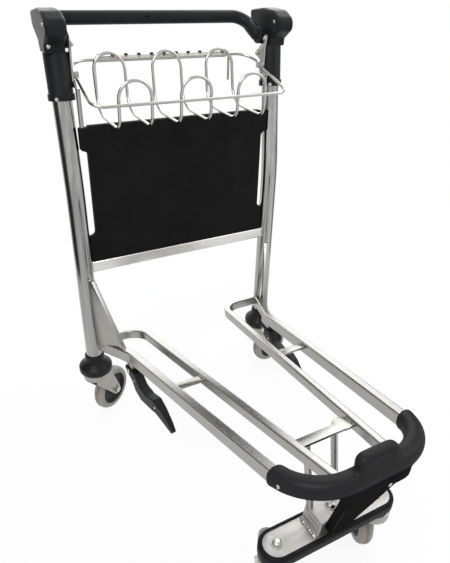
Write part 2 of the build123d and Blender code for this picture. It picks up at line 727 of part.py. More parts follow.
# Front axle beam: pressed pan with a rubber edging
beam_plane = Plane(origin=(0, AXLE_Y, BEAM_TOP_Z - BEAM_H))
length = 2 * (AXLE_STEM_X + BEAM_HALF_W)
pan = extrude(beam_plane * SlotOverall(length, 2 * BEAM_HALF_W), BEAM_H)
pocket_size = (length - 2 * BEAM_WALL, 2 * (BEAM_HALF_W - BEAM_WALL))
pocket = extrude(beam_plane * SlotOverall(*pocket_size), BEAM_H - BEAM_WALL)
edge_plane = Plane(origin=(0, AXLE_Y, BEAM_TOP_Z + 1 - EDGING_H))
edging = extrude(edge_plane * SlotOverall(length + 2 * EDGING_T, 2 * (BEAM_HALF_W + EDGING_T)), EDGING_H)
edging = fillet(edging.edges().group_by(Axis.Z)[-1], EDGING_R)
edging = edging - extrude(edge_plane * SlotOverall(length, 2 * BEAM_HALF_W), EDGING_H)

# King bolts of the front casters and stem plugs of the rear ones
head_z = FORK_TOP_Z - FORK_HEAD_T - 0.5
for side, sign in SIDES:
    x = sign * AXLE_STEM_X
    shank = cylinder((x, AXLE_Y, head_z - STEM_HEAD_T), (0, 0, 1), STEM_HEAD_D, STEM_HEAD_T)
    shank = shank + cylinder((x, AXLE_Y, head_z), (0, 0, 1), STEM_D, BEAM_TOP_Z - head_z)
    caster_stems.append(shank + dome((x, AXLE_Y, BEAM_TOP_Z), (0, 0, 1), DOME_D, DOME_H))
    seat_z = FORK_TOP_Z + SWIVEL_GAP
    ring = cylinder((x, AXLE_Y, seat_z), (0, 0, 1), SEAT_D, BEAM_TOP_Z - BEAM_WALL - seat_z)
    bore = cylinder((x, AXLE_Y, head_z), (0, 0, 1), STEM_D, BEAM_TOP_Z + BEAM_H - head_z)
    caster_seats.append(ring - bore)
    pan = pan - bore
save("front_beam", pan - pocket)
save("beam_edging", edging)
for side, sign in SIDES:
    x = sign * HALF_TRACK
    seat_z = FORK_TOP_Z + SWIVEL_GAP
    plug = cylinder((x, 0, seat_z), (0, 0, 1), PLUG_D, TUBE_FOOT_Z - seat_z)
    plug = plug + cylinder((x, 0, TUBE_FOOT_Z), (0, 0, 1), TUBE_D - 2 * TUBE_WALL, PLUG_DEPTH)
    stem = cylinder((x, 0, head_z - STEM_HEAD_T), (0, 0, 1), STEM_HEAD_D, STEM_HEAD_T)
    stem = stem + cylinder((x, 0, head_z), (0, 0, 1), STEM_D, TUBE_FOOT_Z + PLUG_DEPTH - head_z)
    caster_seats.append(plug - stem)
    caster_stems.append(stem)
save("caster_seats", group(caster_seats))
save("caster_stems", group(caster_stems))

# Rubber bells round the rear caster heads
bells = []
for side, sign in SIDES:
    x = sign * HALF_TRACK
    bulge = BELL_D / 2
    neck = BELL_NECK_D / 2
    shape = [
        (TUBE_D / 2, BELL_TOP_Z),
        (neck - 1, BELL_TOP_Z),
        (neck + 1, BELL_FOOT_Z + 36),
        (bulge - 9, BELL_FOOT_Z + 30),
        (bulge, BELL_FOOT_Z + 21),
        (bulge, BELL_FOOT_Z + 6),
        (bulge - 9, BELL_FOOT_Z),
        (TUBE_D / 2, BELL_FOOT_Z),
    ]
    outline = rounded([(p[0], 0, p[1]) for p in shape], [0, 2, 12, 5, 6, 6, 4, 0], True)
    bell = Pos(x, 0, 0) * revolve(Face(outline), Axis.Z, 360)
    bells.append(bell)
save("caster_bells", group(bells))

# Casters
half_in = TYRE_W / 2 + FORK_SIDE_GAP
wheel_z = WHEEL_D / 2
face = Plane(origin=(0, 0, 0), x_dir=(1, 0, 0), z_dir=(0, -1, 0))
leg_outline = [
    (-23, FORK_TOP_Z - FORK_HEAD_T),
    (-21, FORK_TOP_Z - FORK_HEAD_T - 16),
    (TRAIL - 15, wheel_z - 5),
    (TRAIL - 5, wheel_z - 16),
    (TRAIL + 9, wheel_z - 16),
    (TRAIL + 15, wheel_z + 2),
    (TRAIL - 6, wheel_z + 54),
    (36, FORK_TOP_Z - FORK_HEAD_T + 8),
    (20, FORK_TOP_Z - FORK_HEAD_T + 8),
    (20, FORK_TOP_Z - FORK_HEAD_T),
]
tread = [
    (HUB_WHEEL_D / 2, -TYRE_W / 2),
    (wheel_z, -TYRE_W / 2),
    (wheel_z, TYRE_W / 2),
    (HUB_WHEEL_D / 2, TYRE_W / 2),
]
spots = [
    ("rear_right", -HALF_TRACK, 0.0, REAR_RIGHT_YAW),
    ("rear_left", HALF_TRACK, 0.0, REAR_LEFT_YAW),
    ("front_right", -AXLE_STEM_X, AXLE_Y, FRONT_RIGHT_YAW),
    ("front_left", AXLE_STEM_X, AXLE_Y, FRONT_LEFT_YAW),
]
head = cylinder((0, 0, FORK_TOP_Z - FORK_HEAD_T), (0, 0, 1), FORK_HEAD_D, FORK_HEAD_T)
head = fillet(head.edges().group_by(Axis.Z)[-1], 4)
fork = head
for way in (-1, 1):
    leg_plane = face.offset(way * (half_in + FORK_T / 2))
    fork = fork + prism(leg_plane, leg_outline, FORK_T, [0, 6, 6, 8, 8, 10, 16, 6, 0, 0])
axle_line = (0, 1, 0)
shaft_len = 2 * (half_in + FORK_T)
shaft = cylinder((TRAIL, -shaft_len / 2, wheel_z), axle_line, AXLE_D, shaft_len)
fork = fork - shaft - cylinder((0, 0, 0), (0, 0, 1), STEM_D + 2 * RUN_CLEAR, 400)
axle = shaft
for way in (-1, 1):
    nut_plane = Plane(origin=(TRAIL, way * shaft_len / 2, wheel_z), z_dir=(0, way, 0))
    axle = axle + extrude(nut_plane * RegularPolygon(AXLE_HEAD_D / 2, 6), AXLE_HEAD_H)
ring = rounded([(p[0], p[1], 0) for p in tread], [3, TYRE_R, TYRE_R, 3], True)
tyre_plane = Plane(origin=(TRAIL, 0, wheel_z), x_dir=(1, 0, 0), z_dir=(0, 0, 1))
spin = Axis((TRAIL, 0, wheel_z), (0, 1, 0))
tyre = revolve(tyre_plane * Face(ring), spin, 360)
half_hub = TYRE_W / 2 - 1
web = [
    (AXLE_D / 2 + RUN_CLEAR, -half_in + SWIVEL_GAP),
    (16, -half_in + SWIVEL_GAP),
    (18, -6),
    (HUB_WHEEL_D / 2 - 7, -8),
    (HUB_WHEEL_D / 2 - 4, -half_hub),
    (HUB_WHEEL_D / 2, -half_hub),
]
hub_outline = web + [(p[0], -p[1]) for p in reversed(web)]
hub_ring = rounded([(p[0], p[1], 0) for p in hub_outline], [0] * len(hub_outline), True)
hub = revolve(tyre_plane * Face(hub_ring), spin, 360)
tyre = tyre - hub
for name, x, y, yaw in spots:
    spot = Pos(x, y, 0) * Rot(0, 0, yaw)
    save(f"fork_{name}", spot * fork)
    save(f"axle_{name}", spot * axle)
    save(f"tyre_{name}", spot * tyre)
    save(f"hub_{name}", spot * hub)

# Saddle, struts and bolt between the deck and the front axle beam
st = SADDLE_TOP_Z
bt = BEAM_TOP_Z
top = SADDLE_HALF_TOP
foot = SADDLE_HALF_FOOT
thin = SADDLE_T
hat_right = [
    (foot + SADDLE_FOOT, bt),
    (foot + SADDLE_FOOT, bt + thin),
    (foot, bt + thin),
    (top, st),
]
hat_left = [(-p[0], p[1]) for p in reversed(hat_right)]
under = [
    (-foot + thin + 1, bt),
    (-top + thin - 2, st - thin),
    (top - thin + 2, st - thin),
    (foot - thin - 1, bt),
]
hat_plane = Plane(origin=(0, AXLE_Y, 0), x_dir=(1, 0, 0), z_dir=(0, -1, 0))
saddle = prism(hat_plane, hat_right + hat_left + under, SADDLE_L)
save("axle_saddle", saddle)
frame_bolts.append(dome((0, AXLE_Y, st), (0, 0, 1), DOME_D, DOME_H))
struts = []
for side, sign in SIDES:
    head_x = sign * STRUT_TOP_X - STRUT_SIDE
    head_at = INNER_TILT * Pos(head_x, FRONT_PLATE_S + 2, -STRAP_DROP - STRAP_T / 2)
    foot_at = Vector(sign * STRUT_FOOT_X - STRUT_SIDE, AXLE_Y + 16, st - thin)
    line = head_at.position - foot_at
    strut = cylinder(foot_at, line, STRUT_D, line.length) - front_plate - saddle
    struts.append(max(strut.solids(), key=lambda s: s.volume))
save("front_struts", group(struts))

# Skid plate from the bumper down to the edging
skid_plane = Plane(origin=(0, 0, 0), x_dir=(0, 1, 0), z_dir=(1, 0, 0))
edge_z = BEAM_TOP_Z + 1
skid_side = [
    (SKID_FOOT_Y, edge_z),
    (SKID_TOP_Y, SKID_TOP_Z),
    (SKID_TOP_Y - SKID_T, SKID_TOP_Z),
    (SKID_FOOT_Y - SKID_T, edge_z),
]
wedge = [
    (-SKID_FOOT_W / 2, edge_z),
    (SKID_FOOT_W / 2, edge_z),
    (SKID_TOP_W / 2, SKID_TOP_Z),
    (-SKID_TOP_W / 2, SKID_TOP_Z),
]
tray = skid_side[2:] + [(SKID_FOOT_Y + SKID_FLANGE, edge_z), (SKID_TOP_Y + SKID_FLANGE, SKID_TOP_Z)]
skid = prism(skid_plane, tray, SKID_TOP_W) & prism(XZ, wedge, 2000)
inner_wedge = [(p[0] - SKID_T * (1 if p[0] > 0 else -1), p[1]) for p in wedge]
hollow = [skid_side[0], (SKID_FOOT_Y + 40, edge_z), (SKID_TOP_Y + 40, SKID_TOP_Z), skid_side[1]]
skid = skid - (prism(skid_plane, hollow, SKID_TOP_W) & prism(XZ, inner_wedge, 2000))
skid = skid - bumper_body - saddle - edging - outer_body - inner_bodies["right"] - inner_bodies["left"]
save("skid_plate", min(skid.solids(), key=lambda s: s.center().Z))

# Foot levers, each forked over a tongue under the rail
LEVER_OUTLINE = [
    (-28, 3),
    (-14, 9),
    (30, 9),
    (56, -12),
    (92, -14),
    (126, -3),
    (160, -9),
    (194, -26),
    (211, -39),
    (204, -48),
    (182, -43),
    (138, -34),
    (98, -43),
    (62, -50),
    (34, -42),
    (14, -20),
    (-6, -12),
]
LEVER_BENDS = [6, 6, 10, 14, 14, 20, 24, 10, 5, 5, 20, 24, 20, 12, 10, 10, 6]
plan = atan2(RAIL_BEND_X - NOSE_HALF_W, (RAIL_BEND_S - NOSE_S) * cos(radians(DECK_SLOPE)))
lever_brackets = []
for side, sign in SIDES:
    out = Vector(-sign * sin(plan), -cos(plan), 0)
    normal = out.cross(Vector(0, 0, 1))
    pivot = Vector(sign * LEVER_X, LEVER_PIVOT_Y, LEVER_PIVOT_Z)
    plane = Plane(origin=pivot, x_dir=out, z_dir=normal)
    flat = Plane(origin=pivot, x_dir=out, z_dir=(0, 0, 1))
    ear_half = EAR_W / 2
    tongue = [
        (-ear_half, 34),
        (-ear_half, -1),
        (-6, -EAR_R),
        (6, -EAR_R),
        (ear_half, -1),
        (ear_half, 34),
    ]
    web = [(-ear_half, 17), (ear_half, 17), (ear_half, 34), (-ear_half, 34)]
    bracket = prism(plane, web, EAR_WEB_W) + prism(plane, tongue, EAR_T, [0, 6, 6, 6, 6, 0])
    bracket = bracket - outer_body
    keep = min(bracket.solids(), key=lambda s: s.center().Z)
    across = LEVER_W + 2 * RIVET_GAP
    pin = cylinder(pivot - normal * across / 2, normal, LEVER_PIN_D, across)
    lever_brackets.append(keep - pin)
    for way in (-1, 1):
        pin = pin + dome(pivot + normal * (way * across / 2), normal * way, RIVET_D, RIVET_H)
    frame_bolts.append(pin)
    lever = prism(plane, LEVER_OUTLINE, LEVER_W, LEVER_BENDS)
    rims = [e for e in lever.edges() if abs(abs((e.center() - pivot).dot(normal)) - LEVER_W / 2) < 0.01]
    lever = chamfer(rims, LEVER_EDGE)
    wide = LEVER_W / 2
    tip = LEVER_TIP_W / 2
    sides = [
        (-50, -wide),
        (LEVER_TAPER_S, -wide),
        (LEVER_TIP_S, -tip),
        (LEVER_TIP_S, tip),
        (LEVER_TAPER_S, wide),
        (-50, wide),
    ]
    lever = lever & prism(flat, sides, 300, [0, 60, 0, 0, 60, 0])
    slot = prism(plane, [(-60, -60), (SLOT_AHEAD, -60), (SLOT_AHEAD, 60), (-60, 60)], EAR_T + 2 * EAR_GAP)
    bore = cylinder(pivot - normal * 30, normal, LEVER_PIN_D + 2 * RUN_CLEAR, 60)
    turn = Axis(pivot, normal * sign)
    save(f"foot_lever_{side}", (lever - slot - bore).rotate(turn, LEVER_REST[side]))
save("lever_brackets", group(lever_brackets))

save("trim_screws", group(trim_screws))
save("frame_bolts", group(frame_bolts))
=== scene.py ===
"""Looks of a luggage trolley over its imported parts: mouldings, welds, fasteners, finishes and stage."""

import json
import math

import bmesh
import bpy
from bpy.props import FloatProperty, FloatVectorProperty, IntProperty, PointerProperty
from mathutils import Matrix, Vector


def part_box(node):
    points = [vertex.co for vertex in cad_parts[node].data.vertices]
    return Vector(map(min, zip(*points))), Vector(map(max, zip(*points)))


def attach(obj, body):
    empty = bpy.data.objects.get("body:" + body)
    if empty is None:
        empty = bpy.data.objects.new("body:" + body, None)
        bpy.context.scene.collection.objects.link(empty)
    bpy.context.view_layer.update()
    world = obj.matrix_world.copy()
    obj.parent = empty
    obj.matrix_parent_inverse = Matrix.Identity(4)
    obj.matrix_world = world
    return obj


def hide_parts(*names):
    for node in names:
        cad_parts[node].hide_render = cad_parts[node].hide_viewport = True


bl_info = {
    "name": "Luggage trolley",
    "version": (1, 0, 0),
    "blender": (4, 5, 0),
    "location": "View3D > Sidebar > Trolley",
    "description": "Mouldings, welds, fasteners and finishes of a luggage trolley",
    "category": "Object",
}

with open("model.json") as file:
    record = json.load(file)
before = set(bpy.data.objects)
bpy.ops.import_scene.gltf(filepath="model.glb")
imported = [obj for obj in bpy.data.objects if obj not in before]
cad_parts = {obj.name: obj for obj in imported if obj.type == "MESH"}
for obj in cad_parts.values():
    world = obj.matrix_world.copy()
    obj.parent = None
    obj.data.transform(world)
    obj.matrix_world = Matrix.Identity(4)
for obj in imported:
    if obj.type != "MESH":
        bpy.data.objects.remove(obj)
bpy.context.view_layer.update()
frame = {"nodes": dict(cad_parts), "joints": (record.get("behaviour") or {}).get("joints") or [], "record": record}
COLOUR = {m["slot"]: tuple(m["base_color"][:3]) for m in frame["record"]["materials"]}
BODY_OF = {n: b for b, ns in frame["record"]["behaviour"]["bodies"].items() for n in ns}
HINGES = {j["name"]: j for j in frame["joints"]}

# The uprights give the middle plane and the line that the deck starts from
POST_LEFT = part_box("upright_left")
POST_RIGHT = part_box("upright_right")
TUBE_R = (POST_LEFT[1].x - POST_LEFT[0].x) / 2
MID_X = (POST_LEFT[0].x + POST_RIGHT[1].x) / 2
POST_Y = POST_LEFT[0].y + TUBE_R
SIDES = {"right": -1, "left": 1}
CASTERS = ("rear_right", "rear_left", "front_right", "front_left")

# Slopes of the outer and inner rails, and the height of their tops at the uprights in millimetres
DECK_TILT = math.radians(11.7)
INNER_TILT = math.radians(10.9)
DECK_Z = 264.0

# Places in millimetres that several details sit on, read from the frame
FRONT_SWIVEL = HINGES["caster_front_left_swivel"]["pos_m"]
POST_X = (POST_LEFT[0].x + TUBE_R - MID_X) * 1000
WELD_R = TUBE_R * 1000 + 0.2
STEM_X = (FRONT_SWIVEL[0] - MID_X) * 1000
AXLE_Y = (FRONT_SWIVEL[1] - POST_Y) * 1000
BEAM_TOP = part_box("front_beam")[1].z * 1000
SADDLE_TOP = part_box("axle_saddle")[1].z * 1000


def at(x, y, z):
    """Millimetres from the middle plane, the uprights and the floor, as a point in metres."""
    return Vector((MID_X + x / 1000, POST_Y + y / 1000, z / 1000))


def on_deck(x, along, up, tilt=DECK_TILT):
    """A point in the sloping plane of the deck, in millimetres."""
    y = along * math.cos(tilt) + up * math.sin(tilt)
    return at(x, y, DECK_Z - along * math.sin(tilt) + up * math.cos(tilt))


def post_face(y):
    """How far from the middle a weld on an upright's inner side lies, in millimetres."""
    return POST_X - math.sqrt(WELD_R**2 - y * y)


# Sizes and colours


def length(label, note, value, low, high):
    """A length that a user may change, in metres."""
    return FloatProperty(name=label, description=note, default=value, min=low, max=high, unit="LENGTH")


def paint(label, note, value):
    """A colour that a user may change."""
    return FloatVectorProperty(name=label, description=note, subtype="COLOR", size=3, default=value)


class TrolleySizes(bpy.types.PropertyGroup):
    """Sizes of the details on the trolley."""

    edge_round: length("Edge rounding", "Rounding of cut sheet and tube edges", 0.0009, 0.0001, 0.003)
    bead_radius: length("Weld bead", "Radius of a weld bead", 0.0022, 0.0005, 0.006)
    rivet_radius: length("Rivet radius", "Radius of the rivets in the foot levers", 0.0034, 0.001, 0.008)
    washer_radius: length("Washer radius", "Radius of the washers under the dome bolts", 0.0125, 0.008, 0.025)
    mould_step: length("Moulding step", "Mesh step of the moulded covers", 0.0015, 0.0008, 0.005)
    tread_steps: IntProperty(
        name="Tread steps", description="Steps round a tyre", default=96, min=24, max=256)


class TrolleyColours(bpy.types.PropertyGroup):
    """Colours that the finishes vary around."""

    chrome: paint("Chrome", "Round tube", COLOUR["chrome_tube"])
    wire: paint("Wire", "Basket wire", COLOUR["chrome_wire"])
    rail: paint("Rail", "Plated rail tube", COLOUR["zinc_tube"])
    sheet: paint("Sheet", "Plated sheet", COLOUR["zinc_plate"])
    plate: paint("Plate", "Brushed plate", COLOUR["bright_plate"])
    fork: paint("Fork", "Pressed caster fork", COLOUR["fork_zinc"])
    fastener: paint("Fastener", "Bolts and screws", COLOUR["fastener"])
    plastic: paint("Moulding", "Charcoal moulding", COLOUR["black_plastic"])
    grip: paint("Grip", "Handle sleeve", COLOUR["grip_foam"])
    panel: paint("Panel", "Back panel", COLOUR["panel_plastic"])
    skid: paint("Skid", "Skid plate", COLOUR["skid_plastic"])
    rubber: paint("Rubber", "Bumper and bells", COLOUR["black_rubber"])
    strip: paint("Strip", "Pale basket strip", COLOUR["pale_strip"])
    tyre: paint("Tyre", "Grey tread", COLOUR["grey_tyre"])
    stain: paint("Tread stain", "Brown stain round the tread", (0.20, 0.14, 0.09))
    hub: paint("Hub", "Wheel centre", COLOUR["wheel_hub"])
    floor: paint("Floor", "Pale floor", (0.86, 0.86, 0.86))


def sizes():
    """The sizes in this scene."""
    return bpy.context.scene.trolley_sizes


def colours():
    """The colours in this scene."""
    return bpy.context.scene.trolley_colours


# Shader groups and finishes


def socket(tree, way, label, kind, value=None):
    """One socket on a group's interface."""
    item = tree.interface.new_socket(name=label, in_out=way, socket_type="NodeSocket" + kind)
    if value is not None:
        item.default_value = value


def shader_group(name, inputs, outputs):
    """An empty shader group with named sockets."""
    tree = bpy.data.node_groups.new(name, "ShaderNodeTree")
    for label, kind, value in inputs:
        socket(tree, "INPUT", label, kind, value)
    for label, kind in outputs:
        socket(tree, "OUTPUT", label, kind)
    return tree, tree.nodes.new("NodeGroupInput"), tree.nodes.new("NodeGroupOutput")


def noise(tree, vector, scale, detail=4.0, rough=0.55):
    """A noise texture on a vector; scale may be a number or a socket."""
    node = tree.nodes.new("ShaderNodeTexNoise")
    tree.links.new(vector, node.inputs["Vector"])
    if isinstance(scale, (int, float)):
        node.inputs["Scale"].default_value = scale
    else:
        tree.links.new(scale, node.inputs["Scale"])
    node.inputs["Detail"].default_value = detail
    node.inputs["Roughness"].default_value = rough
    return node.outputs["Fac"]


def spread(tree, value, low, high, to_low=0.0, to_high=1.0):
    """Maps a range of a value smoothly to another."""
    node = tree.nodes.new("ShaderNodeMapRange")
    node.interpolation_type = "SMOOTHSTEP"
    tree.links.new(value, node.inputs["Value"])
    for label, number in (("From Min", low), ("From Max", high), ("To Min", to_low), ("To Max", to_high)):
        node.inputs[label].default_value = number
    return node.outputs["Result"]


def times(tree, a, b, kind="MULTIPLY"):
    """Two values through one math step; b may be a number."""
    node = tree.nodes.new("ShaderNodeMath")
    node.operation = kind
    tree.links.new(a, node.inputs[0])
    if isinstance(b, (int, float)):
        node.inputs[1].default_value = b
    else:
        tree.links.new(b, node.inputs[1])
    return node.outputs[0]


def parted(tree, vector, axis):
    """One coordinate of a vector."""
    node = tree.nodes.new("ShaderNodeSeparateXYZ")
    tree.links.new(vector, node.inputs[0])
    return node.outputs[axis]


def either_way(tree, value):
    """How far a value is from nought, to either side."""
    node = tree.nodes.new("ShaderNodeMath")
    node.operation = "ABSOLUTE"
    tree.links.new(value, node.inputs[0])
    return node.outputs[0]


def blend_colour(tree, share, a, b):
    """Mixes two colours, each a tuple or a socket, by a share."""
    node = tree.nodes.new("ShaderNodeMix")
    node.data_type = "RGBA"
    tree.links.new(share, node.inputs[0])
    for index, value in ((6, a), (7, b)):
        if isinstance(value, bpy.types.NodeSocket):
            tree.links.new(value, node.inputs[index])
        else:
            node.inputs[index].default_value = (*value, 1.0)
    return node.outputs[2]


def wear_group():
    """Rubbed and handled places."""
    name = "Handling wear"
    if name in bpy.data.node_groups:
        return bpy.data.node_groups[name]
    inputs = (("Vector", "Vector", None), ("Scale", "Float", 20.0), ("Amount", "Float", 0.5))
    tree, into, out = shader_group(name, inputs, (("Mask", "Float"),))
    broad = spread(tree, noise(tree, into.outputs["Vector"], into.outputs["Scale"], 5.0, 0.6), 0.48, 0.72)
    fine = noise(tree, into.outputs["Vector"], 420.0, 3.0, 0.6)
    mixed = times(tree, broad, spread(tree, fine, 0.3, 0.65, 0.35, 1.0))
    tree.links.new(times(tree, mixed, into.outputs["Amount"]), out.inputs["Mask"])
    return tree


def lines_group():
    """Fine lines left by drawing or brushing, on coordinates stretched along them."""
    name = "Drawn lines"
    if name in bpy.data.node_groups:
        return bpy.data.node_groups[name]
    tree, into, out = shader_group(
        name, (("Vector", "Vector", None), ("Scale", "Float", 300.0)),
        (("Tone", "Float"), ("Height", "Float")))
    tone = noise(tree, into.outputs["Vector"], into.outputs["Scale"], 6.0, 0.7)
    tree.links.new(spread(tree, tone, 0.25, 0.75), out.inputs["Tone"])
    tree.links.new(tone, out.inputs["Height"])
    return tree


def grain_group():
    """Fine moulded grain with a few shallow scuffs."""
    name = "Moulded grain"
    if name in bpy.data.node_groups:
        return bpy.data.node_groups[name]
    tree, into, out = shader_group(
        name, (("Vector", "Vector", None), ("Scale", "Float", 900.0)),
        (("Height", "Float"), ("Tone", "Float")))
    grain = noise(tree, into.outputs["Vector"], into.outputs["Scale"], 2.0, 0.5)
    cells = tree.nodes.new("ShaderNodeTexVoronoi")
    tree.links.new(into.outputs["Vector"], cells.inputs["Vector"])
    tree.links.new(into.outputs["Scale"], cells.inputs["Scale"])
    tree.links.new(times(tree, grain, cells.outputs["Distance"], "ADD"), out.inputs["Height"])
    tree.links.new(noise(tree, into.outputs["Vector"], 14.0, 6.0, 0.65), out.inputs["Tone"])
    return tree


def place_group(tree, group, vector, **values):
    """A group node with its own values."""
    node = tree.nodes.new("ShaderNodeGroup")
    node.node_tree = group
    tree.links.new(vector, node.inputs["Vector"])
    for label, value in values.items():
        node.inputs[label].default_value = value
    return node.outputs


def blank(name):
    """A material with only its shader, and the object coordinates that it reads."""
    material = bpy.data.materials.new(name)
    material.use_nodes = True
    tree = material.node_tree
    shader = tree.nodes["Principled BSDF"]
    spot = tree.nodes.new("ShaderNodeTexCoord").outputs["Object"]
    return material, tree, shader, spot


def mapped(tree, vector, place=(0, 0, 0), turn=(0, 0, 0), scale=(1, 1, 1)):
    """Coordinates moved, turned and stretched."""
    node = tree.nodes.new("ShaderNodeMapping")
    tree.links.new(vector, node.inputs["Vector"])
    node.inputs["Location"].default_value = place
    node.inputs["Rotation"].default_value = turn
    node.inputs["Scale"].default_value = scale
    return node.outputs["Vector"]


def bump(tree, shader, height, strength, distance):
    """Relief on the shader's normal."""
    node = tree.nodes.new("ShaderNodeBump")
    node.inputs["Strength"].default_value = strength
    node.inputs["Distance"].default_value = distance
    tree.links.new(height, node.inputs["Height"])
    tree.links.new(node.outputs["Normal"], shader.inputs["Normal"])


def shade_of(hue, tint):
    """One of the trolley's colours, made lighter or darker."""
    return tuple(c * tint for c in getattr(colours(), hue))


def metal(name, hue, rough, stretch, lines, tint=1.0, wear=0.2, relief=0.04, dark=0.66, streak=0.16):
    """Plated metal: drawn lines, cloudy plating and dulled spots."""
    material, tree, shader, spot = blank(name)
    colour = shade_of(hue, tint)
    drawn = place_group(tree, lines_group(), mapped(tree, spot, scale=stretch), Scale=lines)
    worn = place_group(tree, wear_group(), spot, Scale=26.0, Amount=wear)["Mask"]
    cloud = spread(tree, noise(tree, spot, 9.0, 4.0, 0.5), 0.3, 0.7)
    dull = tuple(c * dark * w for c, w in zip(colour, (1.0, 0.97, 0.91)))
    light = tuple(min(1.0, c * 1.1) for c in colour)
    base = blend_colour(tree, times(tree, cloud, 0.35), colour, light)
    base = blend_colour(tree, times(tree, drawn["Tone"], streak), base, dull)
    base = blend_colour(tree, worn, base, dull)
    tree.links.new(base, shader.inputs["Base Color"])
    shader.inputs["Metallic"].default_value = 1.0
    uneven = times(tree, times(tree, drawn["Tone"], 0.5), times(tree, worn, 0.9), "ADD")
    tree.links.new(spread(tree, uneven, 0.0, 1.2, rough[0], rough[1]), shader.inputs["Roughness"])
    bump(tree, shader, drawn["Height"], relief, 0.0004)
    return material


def moulding(name, hue, rough, grain, tint=1.0, relief=0.1, dust=(0.05, 0.05, 0.048), wear=0.12, sheen=0.105,
             dull=None):
    """Dark plastic or rubber: grain, grey scuffs, dust in patches, and, where dull gives two heights, painted
    shade: no gloss low down on the piece.
    """
    material, tree, shader, spot = blank(name)
    colour = shade_of(hue, tint)
    relief_of = place_group(tree, grain_group(), spot, Scale=grain)
    worn = place_group(tree, wear_group(), spot, Scale=18.0, Amount=wear)["Mask"]
    soft = tuple(min(1.0, c * 1.25 + 0.001) for c in colour)
    base = blend_colour(tree, spread(tree, relief_of["Tone"], 0.35, 0.7), colour, soft)
    base = blend_colour(tree, worn, base, dust)
    tree.links.new(base, shader.inputs["Base Color"])
    uneven = times(tree, relief_of["Tone"], times(tree, worn, 0.6), "ADD")
    tree.links.new(spread(tree, uneven, 0.2, 1.0, rough[0], rough[1]), shader.inputs["Roughness"])
    shader.inputs["Specular IOR Level"].default_value = sheen
    if dull:
        # The gloss is a coat that fades out between two heights square to the deck, so that below them the surface
        # has painted shade with no gloss
        square = Vector((0, math.sin(DECK_TILT), math.cos(DECK_TILT)))
        height = tree.nodes.new("ShaderNodeVectorMath")
        height.operation = "DOT_PRODUCT"
        height.inputs[1].default_value = square
        tree.links.new(spot, height.inputs[0])
        limits = [square.dot(on_deck(0, 0, up)) for up in dull]
        shader.inputs["Specular IOR Level"].default_value = 0.0
        shader.inputs["Coat Roughness"].default_value = sum(rough) / 2
        gloss = spread(tree, height.outputs["Value"], *limits, 0.0, sheen * 2)
        tree.links.new(gloss, shader.inputs["Coat Weight"])
    bump(tree, shader, relief_of["Height"], relief, 0.0003)
    return material


def tread(name, centre, yaw):
    """Grey tyre with a brown stain round its tread, on coordinates that lie along its axle."""
    hue = colours()
    material, tree, shader, spot = blank(name)
    turned = mapped(tree, spot, place=tuple(-c for c in centre))
    turned = mapped(tree, turned, turn=(0, 0, -yaw))
    across = parted(tree, turned, "Y")
    ragged = times(tree, noise(tree, spot, 60.0, 5.0, 0.65), 0.008)
    side = times(tree, times(tree, across, ragged, "ADD"), 0.004, "SUBTRACT")
    band = spread(tree, either_way(tree, side), 0.0015, 0.0062, 1.0, 0.0)
    grime = place_group(tree, wear_group(), spot, Scale=32.0, Amount=0.8)["Mask"]
    base = blend_colour(tree, grime, tuple(c * 0.72 for c in hue.tyre), tuple(c * 0.4 for c in hue.tyre))
    base = blend_colour(tree, times(tree, band, 0.75), base, tuple(hue.stain))
    tree.links.new(base, shader.inputs["Base Color"])
    tree.links.new(spread(tree, grime, 0.0, 1.0, 0.55, 0.85), shader.inputs["Roughness"])
    bump(tree, shader, noise(tree, spot, 700.0, 3.0, 0.6), 0.15, 0.0004)
    return material


# Ways that drawn lines run, as stretches of the coordinates
LONG_X = (0.02, 1.0, 1.0)
LONG_Y = (1.0, 0.02, 1.0)
LONG_Z = (1.0, 1.0, 0.02)
EVEN = (0.4, 0.4, 0.4)

METALS = {
    "Chrome tube": dict(hue="chrome", tint=1.16, rough=(0.13, 0.25), stretch=LONG_Z, lines=110.0, wear=0.15,
                        relief=0.02, dark=0.4, streak=0.85),
    "Chrome wire": dict(hue="wire", tint=0.86, rough=(0.16, 0.30), stretch=EVEN, lines=160.0),
    "Rail zinc": dict(hue="rail", tint=0.96, rough=(0.29, 0.41), stretch=LONG_Y, lines=150.0, wear=0.15,
                      relief=0.006),
    "Crossbar zinc": dict(hue="rail", tint=1.8, rough=(0.26, 0.38), stretch=LONG_X, lines=150.0, wear=0.15,
                          relief=0.008),
    "Sheet zinc": dict(hue="sheet", tint=0.92, rough=(0.32, 0.48), stretch=EVEN, lines=90.0, wear=0.3),
    "Bright plate": dict(hue="plate", tint=0.86, rough=(0.40, 0.52), stretch=LONG_X, lines=420.0, wear=0.12,
                         relief=0.03, dark=0.75, streak=0.3),
    "Fork zinc": dict(hue="fork", tint=0.76, rough=(0.30, 0.48), stretch=EVEN, lines=120.0, wear=0.25),
    "Fastener zinc": dict(hue="fastener", rough=(0.20, 0.40), stretch=EVEN, lines=200.0),
    "Weld bead": dict(hue="sheet", rough=(0.3, 0.6), stretch=EVEN, lines=500.0, wear=0.5, relief=0.3,
                      dark=0.6),
}
PALE_DUST = (0.07, 0.065, 0.06)
